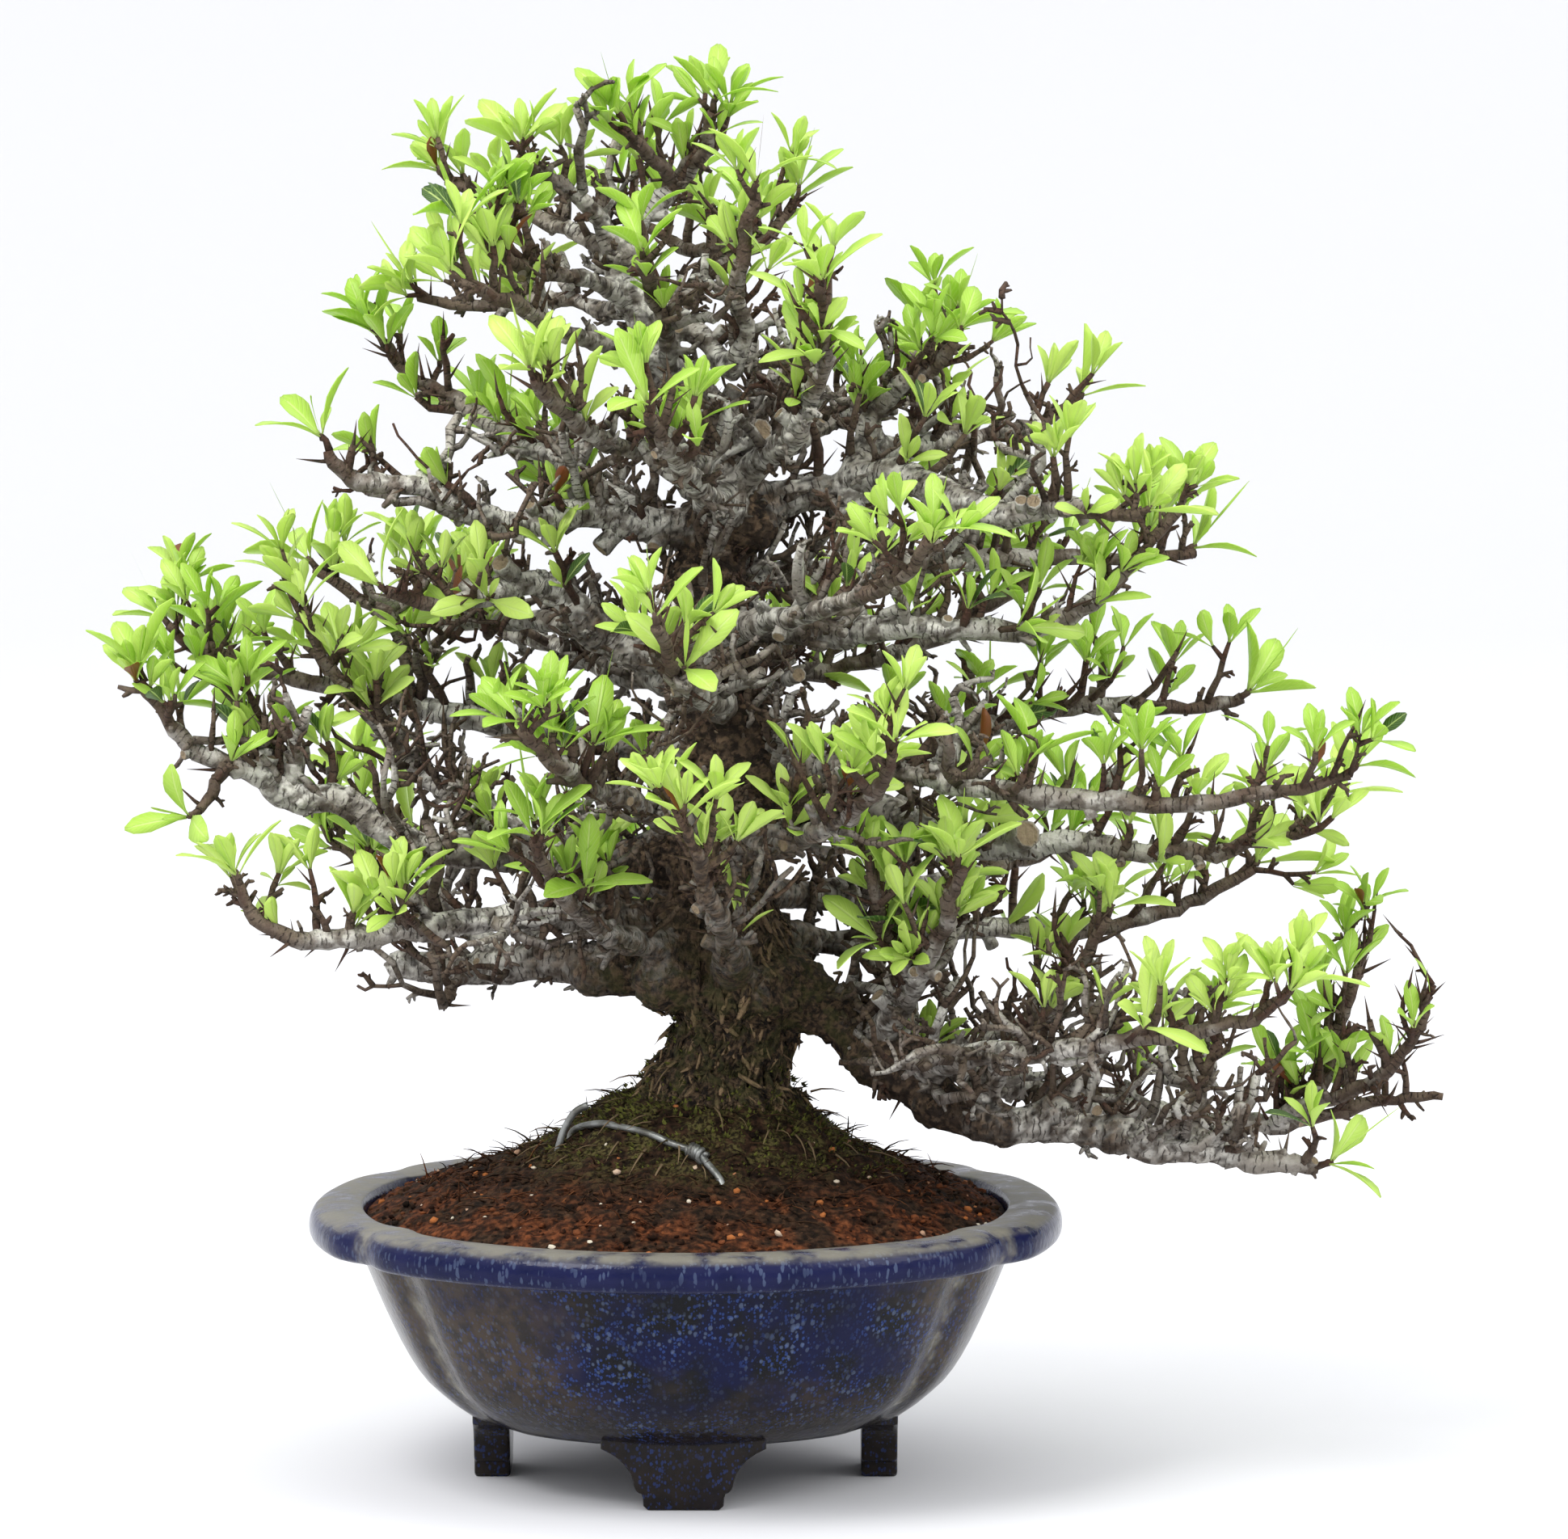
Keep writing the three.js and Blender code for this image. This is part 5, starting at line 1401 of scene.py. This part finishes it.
def leafy_shoot(bm, at, direction, length, draw, tone):
    """A shoot with a leaf to each side of its end, one on top, and a small one between them."""
    bend = (direction + UP * 0.5).normalized()
    tip = at + bend * length
    stops = [Vector((*at, 1.6)), Vector((*(tip - bend * LEAF_BASE), 1.3)), Vector((*tip, 1.2))]
    top = rings(stops)[-1]
    up = (top.along + UP * 0.5).normalized()
    leaves = []
    for side in range(3):
        outward = around(top, (side + 0.5) * math.tau / 3 + 0.5 * (draw() - 0.5))
        along = leaned(up, outward, 0.55 + 0.4 * draw())
        leaves.append((outward, along, LEAF_LENGTH[0] + LEAF_LENGTH[1] * draw()))
    leaves.append((top.across * 0.3, up, LEAF_LENGTH[0] + LEAF_LENGTH[1] * draw()))
    outward = around(top, math.tau * draw())
    leaves.append((outward, leaned(up, outward, 0.15 + 0.4 * draw()), 8 + 9 * draw()))
    middle = at.lerp(tip, 0.5) + noise.noise_vector(tip) * 0.9
    end = tip - bend * 1.2
    added(bm, twig([(*at, 1.5), (*middle, 1.15), (*(tip - bend * 3), 1.35), (*end, 0.7)]))
    for outward, along, long in leaves:
        foot_at = tip - bend * (1.4 + 1.6 * draw()) + outward * 0.7
        leaf(bm, foot_at, along, up, long, draw, tone + 0.35 * (draw() - 0.5))


def branchlet(bm, at, direction, length, girth, draw, tone, leafiness):
    """A side twig that zigzags and turns up, with a tuft at its end, and thorns or tufts on its way."""
    heading, stops = direction, [Vector((*at, girth))]
    for stretch in range(STRETCHES):
        heading = (heading + stray(draw, 0.35) * 0.8 + UP * 0.14).normalized()
        at = at + heading * length / STRETCHES
        radius = girth * (1 - 0.45 * (stretch + 1) / STRETCHES) * (0.85 + 0.35 * draw())
        stops.append(Vector((*at, radius)))
    if not fits(at + heading * 8, 8):
        return
    run = rings(stops)
    added(bm, wood_skin(run, BRANCHLET_SIDES))
    for ring in run[1:-1]:
        lean = (around(ring, draw() * math.tau) + ring.along * 0.4 + UP * 0.4).normalized()
        kind = draw()
        if kind < 0.3 * leafiness:
            tip = ring.at + lean * (2 + 5 * draw())
            added(bm, twig([(*ring.at, 1.1), (*tip, 0.7)]))
            tuft(bm, tip, lean, draw, 3 + int(draw() * 2), tone, 0.8 + 0.2 * draw())
        elif kind < 0.6:
            graft(bm, THORN, towards(ring.at, lean, size=(0.8, 0.7 + 0.6 * draw(), 0.8)), girth=1.0)
        elif kind < 0.9:
            scale = 0.4 + 0.5 * draw()
            graft(bm, one_of(draw, SPURS), towards(ring.at, lean, size=scale), girth=1.2)
    if draw() < leafiness:
        tuft(bm, at, heading, draw, 3 + int(draw() * 3), tone)
    else:
        graft(bm, THORN, towards(at, heading, size=(1, 0.9, 1)), girth=1.0)


def twigs_along(bm, run, spacing, lengths, seed, tone, leafiness):
    """Leafy side twigs along a limb, most of them upward and outward."""
    draw = draws(seed)
    far = run[0].far + spacing * draw()
    while far < run[-1].far:
        ring = min(run, key=lambda ring: abs(ring.far - far))
        side = around(ring, draw() * math.tau)
        direction = (side + ring.along * 0.6 + UP * 0.55).normalized()
        share = (far - run[0].far) / (run[-1].far - run[0].far)
        far += spacing * (0.4 + 1.2 * draw())
        if direction.z > -0.25:
            low, high = lengths
            length, girth = low + (high - low) * draw(), min(1.3 + 0.9 * draw(), ring.radius * 0.7)
            branchlet(bm, ring.at, direction, length, girth, draw, tone, leafiness * (0.6 + 0.4 * share))


def leafed(bm, name, old, route, seed):
    """The young part of a limb: its wood, the shoots that its CAD node has, and finer ones."""
    plain = rings([Vector((*seen_at(x, z, depth), radius)) for x, z, depth, radius in route])
    plain = plain[max(old - 1, 0):]
    young = runs[name][max((old - 1) * LIMB_STEPS - 1, 0):]
    added(bm, wood_skin(young, YOUNG_SIDES))
    length = plain[-1].far - plain[0].far
    places, wanted = int(length / SHOOT_SPACING + 0.5), int(length / TUFT_SPACING + 0.5)
    draw = draws(seed + 50)
    tone = draw()
    bare = name in BARE_ENDS
    leafiness = BARE_LEAFINESS if bare else LEAFINESS
    end = plain[-1]
    if end.radius >= BARE_TIP:
        leafy_shoot(bm, plain[-2].at.lerp(end.at, 0.9), end.along, 8, draws(seed), tone)
    for k in range(wanted):
        j = k * places // wanted
        spot = (j + 0.5) / places * (len(plain) - 1)
        low = min(int(spot), len(plain) - 2)
        at = plain[low].at.lerp(plain[low + 1].at, spot - low)
        draw = draws(seed + j)
        side = around(plain[low], (seed + j) * GOLDEN_ANGLE + draw())
        direction = (plain[low].along * 0.55 + side * 0.9 + UP * 0.5).normalized()
        leafy_shoot(bm, at, direction, 9 + 13 * draw(), draw, tone)
    lengths = LONG_TWIG_LENGTHS if name == LONG_TWIGGED else TWIG_LENGTHS
    spacing = BARE_TWIG_SPACING if bare else TWIG_SPACING
    twigs_along(bm, young, spacing, lengths, seed + 51, tone, leafiness)
    if old > 2:
        inner = runs[name][LIMB_STEPS: (old - 1) * LIMB_STEPS]
        twigs_along(
            bm, inner, INNER_TWIG_SPACING, INNER_TWIG_LENGTHS, seed + 52, tone, 0.75 * leafiness)
    if old:
        knotty = name in KNOTTY_LIMBS
        spacing, rise = (KNOTTY_SPACING, KNOTTY_RISE) if knotty else (SNAG_SPACING, SNAG_RISE)
        if route[0][1] > OPEN_CROWN:
            spacing *= 2
        inner = runs[name][FIRST_CLEAR_RING: (old - 1) * LIMB_STEPS + 1]
        snagged(bm, inner, spacing, seed + 70, rise)
    studded(bm, young, BARE_STUD_SPACING if bare else STUD_SPACING, seed + 60, THORN_SHARE)


new_leaf, tree, shader = finish("new_leaf", 0.42)
blade_map = tree.nodes.new("ShaderNodeUVMap")
blade_map.uv_map = "blade"
spread = axes(blade_map.outputs["UV"])
from_rib = maths("ABSOLUTE", maths("SUBTRACT", spread["X"], 0.5))
where = in_millimetres(tree)
age = maths("ADD", mark(tree, "tone"), scaled(grain(where, 14, 2), 0.8, -0.4))
fresh = blended(between(age, -0.1, 1.1), rgb(180, 220, 78), rgb(220, 243, 126))
fresh = blended(between(age, -0.5, -1), fresh, rgb(58, 92, 40))
fresh = blended(between(age, 1.6, 2), fresh, rgb(134, 66, 36))
vein = maths("SINE", scaled(from_rib, -34, times(spread["Y"], 60)))
vein = times(between(vein, 0.5, 1), 0.28)
rib = between(from_rib, 0.07, 0.02)
pale = maths("MAXIMUM", vein, times(rib, 0.75))
pale = maths("MAXIMUM", pale, times(between(spread["Y"], 0.25, 0), 0.8))
fresh = covered(fresh, pale, between(age, 1.8, 1.2), rgb(222, 240, 150))
put(fresh, shader.inputs["Base Color"])
relief(shader, maths("SUBTRACT", 1, maths("MAXIMUM", vein, rib)), 0.2)
through = tree.nodes.new("ShaderNodeBsdfTranslucent")
put(blended(0.5, fresh, rgb(202, 240, 80)), through.inputs["Color"])
both = tree.nodes.new("ShaderNodeMixShader")
put(0.35, both.inputs["Fac"])
put(shader.outputs["BSDF"], both.inputs[1])
put(through.outputs["BSDF"], both.inputs[2])
put(both.outputs["Shader"], tree.nodes["Material Output"].inputs["Surface"])

stems = {}
for number, (name, old, route, *parent) in enumerate(LIMBS):
    if old < len(route):
        stems.setdefault(parent[0] if parent else name, []).append((name, old, route, 100 * (number + 1)))
for stem, members in stems.items():
    leafy = bmesh.new()
    leafy.loops.layers.uv.new("blade")
    mark_layers(leafy, MARKS)
    for member in members:
        leafed(leafy, *member)
    finished("stem_" + stem, leafy, [bark, new_leaf], ["leafy_" + stem])

# Moss and rootlets: green-brown moss on the root crown and the top of the mound, with pale hair-thin
# rootlets that have come out of the soil there. It grew on the soil and bark, and is a piece of its own.
MOSS_SPRIGS = 2400
ROOTLETS = 90
MOSS_CENTRE_X = 11
MOSS_FROM, MOSS_TO = 20, 58
TRUNK_TURN = 6
MOSS_SEED = 31

sprig = bmesh.new()
for lean, turn, height in ((0.2, 0.4, 1.0), (0.5, 2.6, 0.8), (0.45, 4.6, 0.7)):
    tilt = Matrix.Rotation(turn, 4, "Y") @ Matrix.Rotation(lean, 4, "X")
    tilt @= Matrix.Rotation(-math.pi / 2, 4, "X")
    bmesh.ops.create_cone(
        sprig, cap_ends=False, segments=3, radius1=0.26, radius2=0.0, depth=height,
        matrix=tilt @ Matrix.Translation((0, 0, height / 2)))
mark_layers(sprig, ["tone"])
sprig = kept("sprig", sprig)

cover = bmesh.new()
mark_layers(cover, ["tone"])
draw = draws(MOSS_SEED)
for number in range(MOSS_SPRIGS + ROOTLETS):
    spread = draw() ** 0.8
    turn = number * GOLDEN_ANGLE
    reach = MOSS_FROM + (MOSS_TO - MOSS_FROM) * spread
    x, y = reach * math.cos(turn) * 1.15 + MOSS_CENTRE_X, reach * math.sin(turn)
    at = Vector((x, y, mound_height(x, y)))
    slope = Vector((x - MOSS_CENTRE_X, y, 18)).normalized()
    if number % TRUNK_TURN == 0:
        height = 118 + 42 * draw()
        ring = trunk_at(height)
        slope = Vector((math.cos(turn), math.sin(turn), 0.25))
        at = Vector((ring.at.x, ring.at.y, height)) + slope * (ring.radius - 0.2)
    if number < MOSS_SPRIGS:
        size = (1 + 1.8 * draw()) * (1.15 - 0.5 * spread)
        lay = slope + stray(draw, 0.2) * 0.9
        graft(cover, sprig, towards(at, lay, size=size), tone=draw())
    else:
        length = 6 + 8 * draw()
        lay = Vector((slope.x + draw() - 0.5, slope.y + draw() - 0.5, 0.7 * draw() - 0.75))
        graft(cover, fibre, towards(at + slope * 1.5, lay, size=length), tone=1.6)

moss, tree, shader = finish("moss", 0.95, specular=0.1)
age = mark(tree, "tone")
green = blended(between(age, 0.0, 1.0), rgb(40, 38, 20), rgb(96, 98, 46))
put(blended(between(age, 1.1, 1.5), green, rgb(118, 100, 76)), shader.inputs["Base Color"])
finished("moss", cover, [moss])

# Studio: a pale floor that curves up into a low wall all round, a pale sky, and two soft lamps. The
# camera stands 2.5 m in front, level with the tree's top, and looks a little down on it.
FLOOR_RADIUS = 3.9
WALL_BEND = 2.8
CAMERA_TILT = math.radians(5.4)
CAMERA_LENS = 167

slopes = [math.radians(9 * step) for step in range(11)]
bend = [(FLOOR_RADIUS + WALL_BEND * math.sin(a), WALL_BEND * (1 - math.cos(a))) for a in slopes]
sweep = turned([(0, 0), (1.3, 0), (2.6, 0), *bend], 96)
bmesh.ops.recalc_face_normals(sweep, faces=sweep.faces)
for face in sweep.faces:
    face.smooth = True
paper, tree, shader = finish("pale_paper", 0.9, specular=0.1)
put(rgb(222, 222, 224), shader.inputs["Base Color"])
floor = loose("floor", sweep)
floor.data.materials.append(paper)

world = bpy.data.worlds.new("pale_sky")
world.use_nodes = True
sky = world.node_tree.nodes["Background"]
put((0.97, 0.98, 1, 1), sky.inputs["Color"])
put(1.42, sky.inputs["Strength"])
bpy.context.scene.world = world


def soft_lamp(name, at, size, power):
    """A large square lamp that faces the tree."""
    lamp = bpy.data.lights.new(name, "AREA")
    lamp.size = size
    lamp.energy = power
    made = bpy.data.objects.new(name, lamp)
    made.location = at
    made.rotation_euler = (Vector((0, 0, 0.25)) - made.location).to_track_quat("-Z", "Y").to_euler()
    bpy.context.scene.collection.objects.link(made)


soft_lamp("lamp_left", (-1.3, -1.3, 2.4), 1.2, 52)
soft_lamp("lamp_right", (2.0, -0.9, 1.8), 1.4, 20)

camera = bpy.data.cameras.new("camera")
camera.lens = CAMERA_LENS
eye = bpy.data.objects.new("camera", camera)
eye.location = placed @ Vector((EYE_X, -EYE_DISTANCE, EYE_Z))
eye.rotation_euler = (math.pi / 2 - CAMERA_TILT, 0, 0)
bpy.context.scene.collection.objects.link(eye)
bpy.context.scene.camera = eye
bpy.context.scene.view_settings.view_transform = "Standard"
